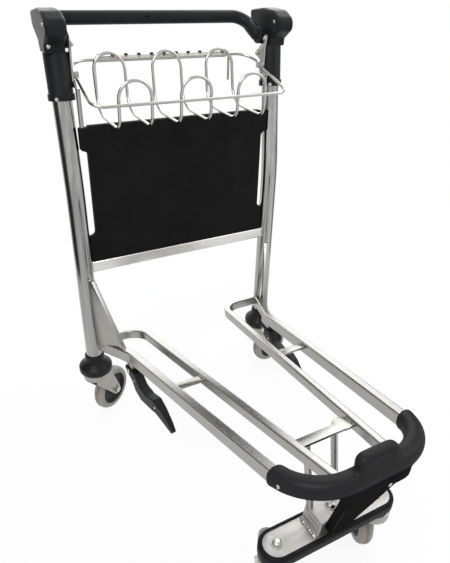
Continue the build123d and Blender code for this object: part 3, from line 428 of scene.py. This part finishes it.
MOULDINGS = {
    "Charcoal moulding": dict(hue="plastic", rough=(0.32, 0.5), grain=700.0, relief=0.12),
    "Handle sleeve": dict(hue="grip", rough=(0.34, 0.5), grain=1100.0, relief=0.08),
    "Panel sheet": dict(hue="panel", rough=(0.5, 0.75), grain=800.0, dust=(0.02, 0.02, 0.02), wear=0.2,
                        sheen=0.04),
    "Skid sheet": dict(hue="skid", tint=1.3, rough=(0.35, 0.55), grain=500.0, dust=(0.022, 0.02, 0.016),
                       wear=0.3, sheen=0.0),
    # Black rubber loses its gloss below the deck, as painted shade under the bumper
    "Black rubber": dict(hue="rubber", rough=(0.32, 0.5), grain=800.0, relief=0.08, sheen=0.14,
                         dull=(-26.0, -14.0)),
    # Bell rubber is Black rubber without that painted shade, for the bells that sit low down
    "Bell rubber": dict(hue="rubber", rough=(0.32, 0.5), grain=800.0, relief=0.08, sheen=0.14),
    "Dusty rubber": dict(hue="rubber", tint=0.7, rough=(0.42, 0.65), grain=600.0, dust=(0.05, 0.046, 0.04),
                         wear=0.25, sheen=0.08),
    "Wheel centre": dict(hue="hub", rough=(0.42, 0.65), grain=600.0, dust=PALE_DUST, wear=0.4, sheen=0.2),
    "Pale strip": dict(hue="strip", rough=(0.35, 0.55), grain=500.0, relief=0.06, dust=(0.42, 0.40, 0.35),
                       wear=0.3, sheen=0.4),
    # The inside of the sleeve's small hole, painted near black as shade
    "Dark hole": dict(hue="panel", tint=0.5, rough=(0.7, 0.9), grain=500.0, dust=(0.01, 0.01, 0.01), wear=0.2,
                      sheen=0.05),
}


def finish(name):
    """The finish of that name, built once."""
    if name in bpy.data.materials:
        return bpy.data.materials[name]
    return metal(name, **METALS[name]) if name in METALS else moulding(name, **MOULDINGS[name])


# Mesh helpers


def join(bm, part):
    """Adds a part to a mesh being built."""
    mesh = bpy.data.meshes.new("joined")
    part.to_mesh(mesh)
    bm.from_mesh(mesh)
    bpy.data.meshes.remove(mesh)
    part.free()


def facing(place, axis):
    """A matrix that stands +Z along an axis at a place."""
    turn = Vector((0, 0, 1)).rotation_difference(Vector(axis).normalized())
    return Matrix.Translation(place) @ turn.to_matrix().to_4x4()


def lathe(bm, profile, place, axis, steps=32):
    """A turned shape: radius and height pairs spun round an axis."""
    part = bmesh.new()
    verts = [part.verts.new((r, 0, h)) for r, h in profile]
    edges = [part.edges.new(pair) for pair in zip(verts, verts[1:])]
    bmesh.ops.spin(part, geom=verts + edges, cent=(0, 0, 0), axis=(0, 0, 1), angle=2 * math.pi,
                   steps=steps, use_merge=True)
    bmesh.ops.remove_doubles(part, verts=part.verts, dist=1e-7)
    bmesh.ops.recalc_face_normals(part, faces=part.faces)
    part.transform(facing(place, axis))
    join(bm, part)


def button(bm, place, axis, radius, height, steps=20):
    """A low rounded head, closed below."""
    profile = [(0, -height * 0.3), (radius, -height * 0.3), (radius, height * 0.25)]
    profile += [(radius * math.cos(a), height * (0.25 + 0.75 * math.sin(a))) for a in (0.4, 0.8, 1.2)]
    lathe(bm, profile + [(0, height)], place, axis, steps)


def along_line(points, step):
    """Evenly spaced points on a line through corners, with their directions."""
    run = []
    for a, b in zip(points, points[1:]):
        count = max(1, round((b - a).length / step))
        run += [(a.lerp(b, i / count), (b - a).normalized()) for i in range(count)]
    return run + [(points[-1], (points[-1] - points[-2]).normalized())]


def bead(bm, points, radius, step=0.0016, ripple=0.16):
    """A weld bead laid along a line, rippled and tapered at its ends."""
    part = bmesh.new()
    stations = along_line(points, step)
    last = len(stations) - 1
    rings = []
    for i, (spot, way) in enumerate(stations):
        taper = min(1.0, 0.35 + 0.35 * min(i, last - i))
        size = radius * taper * (1 + ripple * math.cos(i * 2.1) + ripple * 0.6 * math.sin(i * 0.77))
        made = bmesh.ops.create_circle(
            part, cap_ends=False, segments=8, radius=size, matrix=facing(spot, way))
        rings.append(list({e for v in made["verts"] for e in v.link_edges}))
    for a, b in zip(rings, rings[1:]):
        bmesh.ops.bridge_loops(part, edges=a + b)
    bmesh.ops.holes_fill(part, edges=[e for e in part.edges if len(e.link_faces) == 1])
    bmesh.ops.recalc_face_normals(part, faces=part.faces)
    join(bm, part)


def copy_of(*nodes):
    """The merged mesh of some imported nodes."""
    bm = bmesh.new()
    for name in nodes:
        bm.from_mesh(frame["nodes"][name].data)
    bmesh.ops.remove_doubles(bm, verts=bm.verts, dist=1e-6)
    return bm


def settle(obj):
    """Bakes an object's modifiers into its mesh."""
    bpy.context.view_layer.update()
    seen = obj.evaluated_get(bpy.context.evaluated_depsgraph_get())
    mesh = bpy.data.meshes.new_from_object(seen)
    old = obj.data
    obj.modifiers.clear()
    obj.data = mesh
    bpy.data.meshes.remove(old)


def shade(mesh, sharp):
    """Smooth shading with sharp edges past an angle."""
    bm = bmesh.new()
    bm.from_mesh(mesh)
    for face in bm.faces:
        face.smooth = True
    for edge in bm.edges:
        edge.smooth = len(edge.link_faces) == 2 and edge.calc_face_angle() < math.radians(sharp)
    bm.to_mesh(mesh)
    bm.free()


def piece(name, bm, look, body, stands_for=(), sharp=38, modifiers=()):
    """A finished piece that rides on a body."""
    mesh = bpy.data.meshes.new(name)
    bm.to_mesh(mesh)
    bm.free()
    obj = bpy.data.objects.new(name, mesh)
    bpy.context.scene.collection.objects.link(obj)
    for kind, values in modifiers:
        modifier = obj.modifiers.new(kind.title(), kind)
        for key, value in values.items():
            setattr(modifier, key, value)
    if modifiers:
        settle(obj)
    shade(obj.data, sharp)
    obj.data.materials.clear()
    obj.data.materials.append(finish(look) if isinstance(look, str) else look)
    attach(obj, body)
    if stands_for:
        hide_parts(*stands_for)
    return obj


def coat(look, *nodes):
    """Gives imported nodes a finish."""
    for name in nodes:
        node = frame["nodes"][name]
        if node.material_slots:
            node.material_slots[0].material = finish(look)
        else:
            node.data.materials.append(finish(look))


def eased(node, look, width=None):
    """A packed sheet or tube with its cut edges eased."""
    bm = copy_of(node)
    bmesh.ops.dissolve_limit(bm, angle_limit=math.radians(0.6), verts=bm.verts, edges=bm.edges)
    ease = {"width": width or sizes().edge_round, "segments": 2, "limit_method": "ANGLE",
            "angle_limit": math.radians(40), "profile": 0.5}
    return piece(node + "_eased", bm, look, BODY_OF[node], (node,),
                 modifiers=[("BEVEL", ease)])


def moulded(node, look, step=None, soften=8, free=None):
    """A packed moulding with its edges and corners run together, most where free says so."""
    skin = [
        ("REMESH", {"mode": "VOXEL", "voxel_size": step or sizes().mould_step}),
        ("SMOOTH", {"factor": 0.5, "iterations": 4 if free else soften}),
    ]
    obj = piece(node + "_moulded", copy_of(node), look, BODY_OF[node], (node,),
                sharp=60, modifiers=skin)
    if free:
        bm = bmesh.new()
        bm.from_mesh(obj.data)
        loose = [v for v in bm.verts if free(v.co)]
        for _ in range(soften):
            bmesh.ops.smooth_vert(bm, verts=loose, factor=0.5,
                                  use_axis_x=True, use_axis_y=True, use_axis_z=True)
        bm.to_mesh(obj.data)
        bm.free()
    return obj


# Operators, one for each piece or group of like pieces


class TROLLEY_OT_uprights(bpy.types.Operator):
    """Chrome uprights and the rods that carry the panel"""

    bl_idname = "trolley.uprights"
    bl_label = "Uprights"

    def execute(self, context):
        coat("Chrome tube", "upright_left", "upright_right", "panel_rods")
        return {"FINISHED"}


class TROLLEY_OT_covers(bpy.types.Operator):
    """Moulded housings and sleeves at the top of the uprights"""

    bl_idname = "trolley.covers"
    bl_label = "Covers"

    def execute(self, context):
        for side in SIDES:
            moulded(f"housing_{side}", "Charcoal moulding", soften=14)
            eased(f"sleeve_{side}", "Charcoal moulding", 0.0016)
        # One bolt shows low on the right housing
        bolt = bmesh.new()
        button(bolt, at(-280, 6, 979.5), (-0.2, -1, 0), radius=0.0046, height=0.0032)
        piece("cover_bolt", bolt, "Fastener zinc", "frame")
        coat("Fastener zinc", "trim_screws")
        return {"FINISHED"}


class TROLLEY_OT_handle(bpy.types.Operator):
    """Push handle with its sleeve, core, crank and eye"""

    bl_idname = "trolley.handle"
    bl_label = "Handle"

    def execute(self, context):
        coat("Handle sleeve", "handle_grip", "handle_core")
        eased("handle_hubs", "Charcoal moulding", 0.0014)
        self.boot()
        self.vent()
        return {"FINISHED"}

    def boot(self):
        """Sleeve on the bar's cranked left end."""
        radius, reach = 0.0151, 0.034
        bent_end, along_bar = at(226, 42, 990), (8, -51, -32)
        profile = [(0, -reach), (radius - 0.0005, -reach), (radius, 0.002 - reach), (radius, 0.0)]
        profile += [(radius * math.cos(a), radius * math.sin(a)) for a in (0.3, 0.6, 0.9, 1.2)]
        boot = bmesh.new()
        lathe(boot, profile + [(0, radius)], bent_end, along_bar, 40)
        piece("handle_boot", boot, "Handle sleeve", "brake_handle")

    def vent(self):
        """Small hole in the front of the handle's sleeve, its inside painted near black as shade."""
        rim = [(0, 0.0002), (0.0016, 0.0002), (0.0024, 0.0007), (0.0028, 0.0002), (0.0028, -0.002),
               (0, -0.002)]
        hole = bmesh.new()
        lathe(hole, rim, at(-38.7, 82.7, 1027), (0, -1, 0.1), 16)
        piece("grip_vent", hole, "Dark hole", "brake_handle")


class TROLLEY_OT_basket(bpy.types.Operator):
    """Wire basket with its welds, toothed strip and brackets"""

    bl_idname = "trolley.basket"
    bl_label = "Basket"

    def execute(self, context):
        hoops = [f"basket_hoop_{place}" for place in ("left", "middle", "right")]
        coat("Chrome wire", "basket_rim", "basket_stays", *hoops)
        self.hoop_welds()
        eased("basket_strip", "Pale strip", 0.0006)
        coat("Black rubber", "basket_studs")
        for side in SIDES:
            eased(f"basket_bracket_{side}", "Sheet zinc", 0.0005)
        coat("Fastener zinc", "frame_bolts")
        return {"FINISHED"}

    def hoop_welds(self):
        """Spots where the hoops' legs cross the rim, in front and at the back."""
        pitch, half = 139, 36
        front, rear = (-98.5, 878), (74.5, 942)
        spot = [(0, -0.003), (0.0022, -0.002), (0.003, 0), (0.0022, 0.002), (0, 0.003)]
        welds = bmesh.new()
        for middle in (-pitch, 0, pitch):
            for leg in (-half, half):
                for y, z in (front, rear):
                    lathe(welds, spot, at(middle + leg, y, z), (0, 1, 0), 10)
        piece("basket_welds", welds, "Weld bead", "frame")


class TROLLEY_OT_panel(bpy.types.Operator):
    """Black back panel"""

    bl_idname = "trolley.panel"
    bl_label = "Back panel"

    def execute(self, context):
        eased("back_panel", "Panel sheet", 0.0015)
        return {"FINISHED"}


class TROLLEY_OT_deck(bpy.types.Operator):
    """Load deck: crossbar, rails, straps, gussets and braces, with their welds"""

    bl_idname = "trolley.deck"
    bl_label = "Load deck"

    def execute(self, context):
        coat("Rail zinc", "outer_rail", "inner_rail_left", "inner_rail_right")
        eased("lower_crossbar", "Crossbar zinc")
        eased("deck_straps", "Rail zinc", 0.0006)
        eased("front_plate", "Rail zinc", 0.0006)
        eased("gussets", "Sheet zinc", 0.0006)
        eased("braces", "Rail zinc", 0.0014)
        welds = bmesh.new()
        plugs = bmesh.new()
        for sign in SIDES.values():
            self.strap_welds(welds, sign)
            self.crossbar_weld(welds, sign)
            self.inner_rail_weld(welds, sign)
            self.gusset_weld(welds, sign)
            self.outer_rail_welds(welds, sign)
            self.hole_plugs(plugs, sign)
        piece("deck_welds", welds, "Weld bead", "frame")
        piece("rail_plugs", plugs, "Fastener zinc", "frame")
        return {"FINISHED"}

    def strap_welds(self, welds, sign):
        """Along both ends of the strap between the rails, and the front plate's end on the inner rail."""
        inner_end, outer_end, strap = 106.4, 169.8, (-356, -330)
        plate_end, plate = 61.8, (-661, -633)
        below = -8
        size = sizes().bead_radius
        for x in (inner_end, outer_end):
            bead(welds, [on_deck(sign * x, along, below) for along in strap], size)
        run = [on_deck(sign * plate_end, along, below, INNER_TILT) for along in plate]
        bead(welds, run, size * 1.2)

    def crossbar_weld(self, welds, sign):
        """Up the front of the crossbar's end, and round the upright on top."""
        front, low, high, top = -12.6, 468, 494, 495.2
        x = sign * post_face(front)
        rim = [at(sign * post_face(y), y, top) for y in (-12.5, -6, 0, 6, 12.5)]
        bead(welds, [at(x, front, low), at(x, front, high)] + rim, sizes().bead_radius * 0.8)

    def inner_rail_weld(self, welds, sign):
        """Up the front of the inner rail's end, and back over its top."""
        end_x, front, low = 242.5, -6.8, 241
        back_x, back = 240.6, 4
        run = [at(sign * end_x, front, low), at(sign * end_x, front, DECK_Z), at(sign * back_x, back, DECK_Z)]
        bead(welds, run, sizes().bead_radius)

    def gusset_weld(self, welds, sign):
        """Across the top of the gusset's sheet."""
        slope = (at(sign * 214, -98, 0) - at(sign * 256, -20.2, 0)).normalized()
        half = Vector((slope.y, -slope.x, 0)) * 0.006
        top = at(sign * 256, -21.6, 453)
        bead(welds, [top - half, top + half], sizes().bead_radius * 1.3)

    def outer_rail_welds(self, welds, sign):
        """Where each side of the outer rail's end meets the upright, seen from the upright's middle."""
        end_x, end_y, half_wide, tall = 248, -4, 10.2, 29
        rail = Vector((sign * (200 - end_x), -134, 0)).normalized()
        aside = Vector((-rail.y, rail.x, 0)) * half_wide
        for way in (-1, 1):
            edge = Vector((sign * (end_x - POST_X), end_y, 0)) + aside * way
            back = edge.dot(rail)
            far = math.sqrt(max(0.0, back**2 - edge.length_squared + WELD_R**2)) - back
            spot = edge + rail * far
            x = sign * POST_X + spot.x
            z = DECK_Z - spot.y * math.tan(DECK_TILT)
            bead(welds, [at(x, spot.y, z - tall), at(x, spot.y, z - 1)], sizes().bead_radius)

    def hole_plugs(self, plugs, sign):
        """Plugged holes in the rear stretch of the inner rail."""
        plug = [(0, 0.0004), (0.0026, 0.0004), (0.0036, 0.0012), (0.0045, 0.0002), (0.0045, -0.001)]
        for x in (165, 175):
            lathe(plugs, plug, at(sign * x, -6.6, 249), (0, -1, 0.1), 18)


class TROLLEY_OT_nose(bpy.types.Operator):
    """Rubber nose bumper"""

    bl_idname = "trolley.nose"
    bl_label = "Nose bumper"

    def execute(self, context):
        limit = on_deck(0, -712, 0).y
        moulded("nose_bumper", "Black rubber", step=0.0018, soften=34, free=lambda spot: spot.y < limit)
        return {"FINISHED"}


class TROLLEY_OT_front_axle(bpy.types.Operator):
    """Front axle beam with its edging, saddle, struts and skid plate"""

    bl_idname = "trolley.front_axle"
    bl_label = "Front axle"

    def execute(self, context):
        eased("front_beam", "Bright plate", 0.0012)
        eased("axle_saddle", "Bright plate", 0.001)
        coat("Bright plate", "front_struts")
        eased("beam_edging", "Dusty rubber", 0.0012)
        eased("skid_plate", "Skid sheet", 0.0012)
        self.washers()
        self.skid_edges()
        self.saddle_welds()
        self.saddle_ribs()
        return {"FINISHED"}

    def washers(self):
        """Washers under the dome bolts on the beam and the saddle."""
        ring, bore, thick = sizes().washer_radius, 0.006, 0.0017
        profile = [(bore, 0), (ring, 0), (ring, 0.0011), (ring - 0.0006, thick), (bore, thick)]
        washers = bmesh.new()
        for x, z in ((-STEM_X, BEAM_TOP), (STEM_X, BEAM_TOP), (0, SADDLE_TOP)):
            lathe(washers, profile, at(x, AXLE_Y, z), (0, 0, 1), 40)
        piece("axle_washers", washers, "Bright plate", "frame")

    def skid_edges(self):
        """Scuffed side edges of the skid plate, from its foot to the nose."""
        worn = bmesh.new()
        for sign in SIDES.values():
            edge = [at(sign * 20.5, -716.8, 199), at(sign * 50.2, -772.4, 360)]
            bead(worn, edge, radius=0.0008, step=0.02, ripple=0.0)
        piece("skid_worn_edges", worn, "Charcoal moulding", "frame")

    def saddle_welds(self):
        """Beads along the saddle's feet on the beam."""
        foot_x, bead_z = 51, BEAM_TOP + 1
        welds = bmesh.new()
        for sign in SIDES.values():
            foot = [at(sign * foot_x, AXLE_Y + y, bead_z) for y in (-25, -8, 9, 25)]
            bead(welds, foot, radius=0.0034, step=0.0022, ripple=0.22)
        piece("saddle_welds", welds, "Weld bead", "frame")

    def saddle_ribs(self):
        """Two ribs across each of the saddle's sloping sides."""
        foot_x, top_x, foot_z, reach = 46, 42, 199, 24
        ribs = bmesh.new()
        for sign in SIDES.values():
            for share in (0.35, 0.7):
                x = sign * (foot_x + (top_x - foot_x) * share)
                z = foot_z + (SADDLE_TOP - foot_z) * share
                run = [at(x, AXLE_Y - reach, z), at(x, AXLE_Y + reach, z)]
                bead(ribs, run, radius=0.0022, step=0.004, ripple=0.0)
        piece("saddle_ribs", ribs, "Bright plate", "frame")


class TROLLEY_OT_casters(bpy.types.Operator):
    """Swivel casters: forks, axles, tyres and centres, with the bells over the rear ones"""

    bl_idname = "trolley.casters"
    bl_label = "Casters"

    def execute(self, context):
        coat("Fastener zinc", "caster_stems", "caster_seats")
        coat("Bell rubber", "caster_bells")
        # The tyre's radius and half width, from its bore out to the tread
        half = [(0.0462, 0.0135), (0.0475, 0.0148), (0.0525, 0.0150), (0.0535, 0.0143), (0.0545, 0.0148),
                (0.0570, 0.0138), (0.0597, 0.0112), (0.0614, 0.0078), (0.0623, 0.0040), (0.0625, 0.0)]
        profile = half + [(r, -h) for r, h in half[-2::-1]] + [half[0]]
        for name in CASTERS:
            hinge = HINGES[f"wheel_{name}_spin"]
            yaw = math.atan2(-hinge["axis"][0], hinge["axis"][1])
            eased(f"fork_{name}", "Fork zinc", 0.001)
            coat("Fastener zinc", f"axle_{name}")
            coat("Wheel centre", f"hub_{name}")
            look = tread(f"Tyre {name.replace('_', ' ')}", hinge["pos_m"], yaw)
            ring = bmesh.new()
            lathe(ring, profile, hinge["pos_m"], hinge["axis"], sizes().tread_steps)
            piece(f"tyre_{name}_tread", ring, look, f"wheel_{name}", (f"tyre_{name}",), sharp=30)
        return {"FINISHED"}


class TROLLEY_OT_levers(bpy.types.Operator):
    """Foot levers with their rivets and brackets"""

    bl_idname = "trolley.levers"
    bl_label = "Foot levers"

    def execute(self, context):
        eased("lever_brackets", "Sheet zinc", 0.0006)
        for side, rise in (("right", 0.0), ("left", 5.0)):
            moulded(f"foot_lever_{side}", "Charcoal moulding", step=0.0011, soften=4)
            hinge = HINGES[f"foot_lever_{side}_hinge"]
            axis = Vector(hinge["axis"])
            out = Vector((0, 0, 1)).cross(axis)
            lift = math.radians(rise)
            rivets = bmesh.new()
            # Each rivet lies along the lever and up from its hinge, on both faces of the lever
            for along, up, half in ((28.8, -12.3, 0.0118), (135.9, -18.1, 0.0111)):
                spot = out * (along * math.cos(lift) - up * math.sin(lift)) / 1000
                spot += Vector((0, 0, along * math.sin(lift) + up * math.cos(lift))) / 1000
                for face in (-1, 1):
                    button(rivets, Vector(hinge["pos_m"]) + spot + axis * face * half, axis * face,
                           sizes().rivet_radius, 0.0012, 16)
            piece(f"lever_rivets_{side}", rivets, "Fastener zinc", f"lever_{side}")
        return {"FINISHED"}


# Cards that show in the bright metal: place, turn, width, height and tone
CARDS = (
    ((-800, 150, 170), 180, 1.0, 1.15, 0.06),
    ((1080, -60, 0), 0, 0.5, 1.5, 0.25),
)
# Lights: name, place, aim, width, height and watts
LIGHTS = (
    ("key", (-1500, -1500, 3000), (0, -300, 400), 1.6, 1.6, 45.0),
    ("fill", (2400, -1500, 2200), (0, -300, 400), 2.0, 2.0, 22.0),
    ("rear", (1200, 3200, 1900), (0, -300, 700), 4.2, 3.4, 70.0),
    ("above", (1500, 700, 3000), (300, -300, 300), 2.4, 2.4, 34.0),
)
# The camera's angles in degrees, its place, and its focal length in pixels of a picture of that height
AZIMUTH, RISE, ROLL = -29.219, 29.626, 1.635
CAMERA_AT = (-525.238, -1180.876, 1110.392)
FOCAL, PICTURE_H = 536.977, 563.0
SENSOR = 36.0


def flat(name, size):
    """A flat square for the stage."""
    bm = bmesh.new()
    bmesh.ops.create_grid(bm, x_segments=1, y_segments=1, size=size)
    mesh = bpy.data.meshes.new(name)
    bm.to_mesh(mesh)
    bm.free()
    obj = bpy.data.objects.new(name, mesh)
    bpy.context.scene.collection.objects.link(obj)
    return obj


def matt(shader, colour, rough):
    """A plain surface with no sheen."""
    shader.inputs["Base Color"].default_value = (*colour, 1.0)
    shader.inputs["Roughness"].default_value = rough
    shader.inputs["Specular IOR Level"].default_value = 0.0


def shader_mix(tree, share, a, b, out):
    """Goes from one shader to another by a share, into an output."""
    mix = tree.nodes.new("ShaderNodeMixShader")
    tree.links.new(share, mix.inputs[0])
    tree.links.new(a.outputs[0], mix.inputs[1])
    tree.links.new(b.outputs[0], mix.inputs[2])
    tree.links.new(mix.outputs[0], out.inputs["Surface"])


class TROLLEY_OT_stage(bpy.types.Operator):
    """Pale floor, soft lights, reflection cards and the camera"""

    bl_idname = "trolley.stage"
    bl_label = "Stage"

    def execute(self, context):
        scene = context.scene
        scene.view_settings.view_transform = "Standard"
        self.floor()
        self.world(scene)
        self.cards()
        self.lights(scene)
        self.camera(scene)
        return {"FINISHED"}

    def seen(self, tree):
        """One where the background is looked at, straight or in a reflection."""
        path = tree.nodes.new("ShaderNodeLightPath").outputs
        either = times(tree, path["Is Camera Ray"], path["Is Glossy Ray"], "MAXIMUM")
        return times(tree, either, path["Is Transmission Ray"], "MAXIMUM")

    def floor(self):
        """Pale floor that keeps a shadow near the trolley and is white further out."""
        obj = flat("floor", 60)
        obj.location.z = -0.0005
        material, tree, shader, spot = blank("Pale floor")
        matt(shader, colours().floor, 0.9)
        glow = tree.nodes.new("ShaderNodeEmission")
        glow.inputs["Color"].default_value = (1.0, 1.0, 1.0, 1.0)
        away = tree.nodes.new("ShaderNodeVectorMath")
        away.operation = "LENGTH"
        tree.links.new(spot, away.inputs[0])
        share = spread(tree, away.outputs["Value"], 0.7, 2.4, 0.88, 1.0)
        shader_mix(tree, times(tree, self.seen(tree), share), shader, glow, tree.nodes["Material Output"])
        obj.data.materials.append(material)

    def world(self, scene):
        """Soft light from all round, white where it is looked at."""
        world = scene.world or bpy.data.worlds.new("Studio")
        scene.world = world
        world.use_nodes = True
        tree = world.node_tree
        tree.nodes.clear()
        soft, white = (tree.nodes.new("ShaderNodeBackground") for _ in range(2))
        soft.inputs["Color"].default_value = (0.94, 0.97, 1.0, 1.0)
        soft.inputs["Strength"].default_value = 0.5
        white.inputs["Color"].default_value = (1.0, 1.0, 1.0, 1.0)
        white.inputs["Strength"].default_value = 1.0
        shader_mix(tree, self.seen(tree), soft, white, tree.nodes.new("ShaderNodeOutputWorld"))

    def cards(self):
        """Upright cards round the set, seen only in reflections and fading at their sides."""
        for number, (place, turn, width, height, tone) in enumerate(CARDS):
            obj = flat(f"card_{number}", 0.5)
            obj.location = at(*place) + Vector((0, 0, height / 2))
            obj.rotation_euler = (math.pi / 2, 0, math.radians(turn - 90))
            obj.scale = (width, height, 1)
            material, tree, shader, spot = blank(f"Card {number}")
            matt(shader, (tone, tone, tone * 1.05), 1.0)
            away = either_way(tree, parted(tree, spot, "X"))
            tree.links.new(spread(tree, away, 0.25, 0.5, 1.0, 0.0), shader.inputs["Alpha"])
            obj.data.materials.append(material)
            obj.visible_camera = False
            obj.visible_diffuse = False
            obj.visible_shadow = False

    def lights(self, scene):
        """Large soft lights in front, behind and above."""
        for name, place, aim, wide, high, power in LIGHTS:
            light = bpy.data.lights.new(name, "AREA")
            light.shape = "RECTANGLE"
            light.energy = power
            light.size = wide
            light.size_y = high
            obj = bpy.data.objects.new(name, light)
            obj.location = at(*place)
            obj.rotation_euler = (at(*aim) - at(*place)).to_track_quat("-Z", "Y").to_euler()
            scene.collection.objects.link(obj)

    def camera(self, scene):
        """Where the photograph was taken from, with its own roll and lens."""
        azimuth, rise, roll = (math.radians(angle) for angle in (AZIMUTH, RISE, ROLL))
        level = math.cos(rise)
        back = Vector((math.sin(azimuth) * level, -math.cos(azimuth) * level, math.sin(rise)))
        right = (-back).cross(Vector((0, 0, 1))).normalized()
        up = right.cross(-back)
        side = right * math.cos(roll) + up * math.sin(roll)
        top = up * math.cos(roll) - right * math.sin(roll)
        lens = bpy.data.cameras.new("camera")
        lens.sensor_fit = "VERTICAL"
        lens.sensor_height = SENSOR
        lens.lens = FOCAL * SENSOR / PICTURE_H
        lens.clip_start = 0.05
        obj = bpy.data.objects.new("camera", lens)
        turned = Matrix((side, top, back)).transposed().to_4x4()
        obj.matrix_world = Matrix.Translation(at(*CAMERA_AT)) @ turned
        scene.collection.objects.link(obj)
        scene.camera = obj


ORDER = (
    TROLLEY_OT_uprights, TROLLEY_OT_covers, TROLLEY_OT_handle, TROLLEY_OT_basket, TROLLEY_OT_panel,
    TROLLEY_OT_deck, TROLLEY_OT_nose, TROLLEY_OT_front_axle, TROLLEY_OT_casters, TROLLEY_OT_levers,
    TROLLEY_OT_stage,
)


class TROLLEY_PT_sidebar(bpy.types.Panel):
    """Lists the trolley's pieces, sizes and colours"""

    bl_idname = "TROLLEY_PT_sidebar"
    bl_label = "Luggage trolley"
    bl_space_type = "VIEW_3D"
    bl_region_type = "UI"
    bl_category = "Trolley"

    def draw(self, context):
        for kind in ORDER:
            self.layout.operator(kind.bl_idname)
        for group in (context.scene.trolley_sizes, context.scene.trolley_colours):
            column = self.layout.column()
            for key in group.__annotations__:
                column.prop(group, key)


CLASSES = (TrolleySizes, TrolleyColours, *ORDER, TROLLEY_PT_sidebar)


def register():
    for kind in CLASSES:
        bpy.utils.register_class(kind)
    bpy.types.Scene.trolley_sizes = PointerProperty(type=TrolleySizes)
    bpy.types.Scene.trolley_colours = PointerProperty(type=TrolleyColours)


def unregister():
    del bpy.types.Scene.trolley_colours
    del bpy.types.Scene.trolley_sizes
    for kind in reversed(CLASSES):
        bpy.utils.unregister_class(kind)


def main():
    register()
    for kind in ORDER:
        getattr(bpy.ops.trolley, kind.bl_idname.split(".")[1])()


if __name__ == "__main__":
    main()
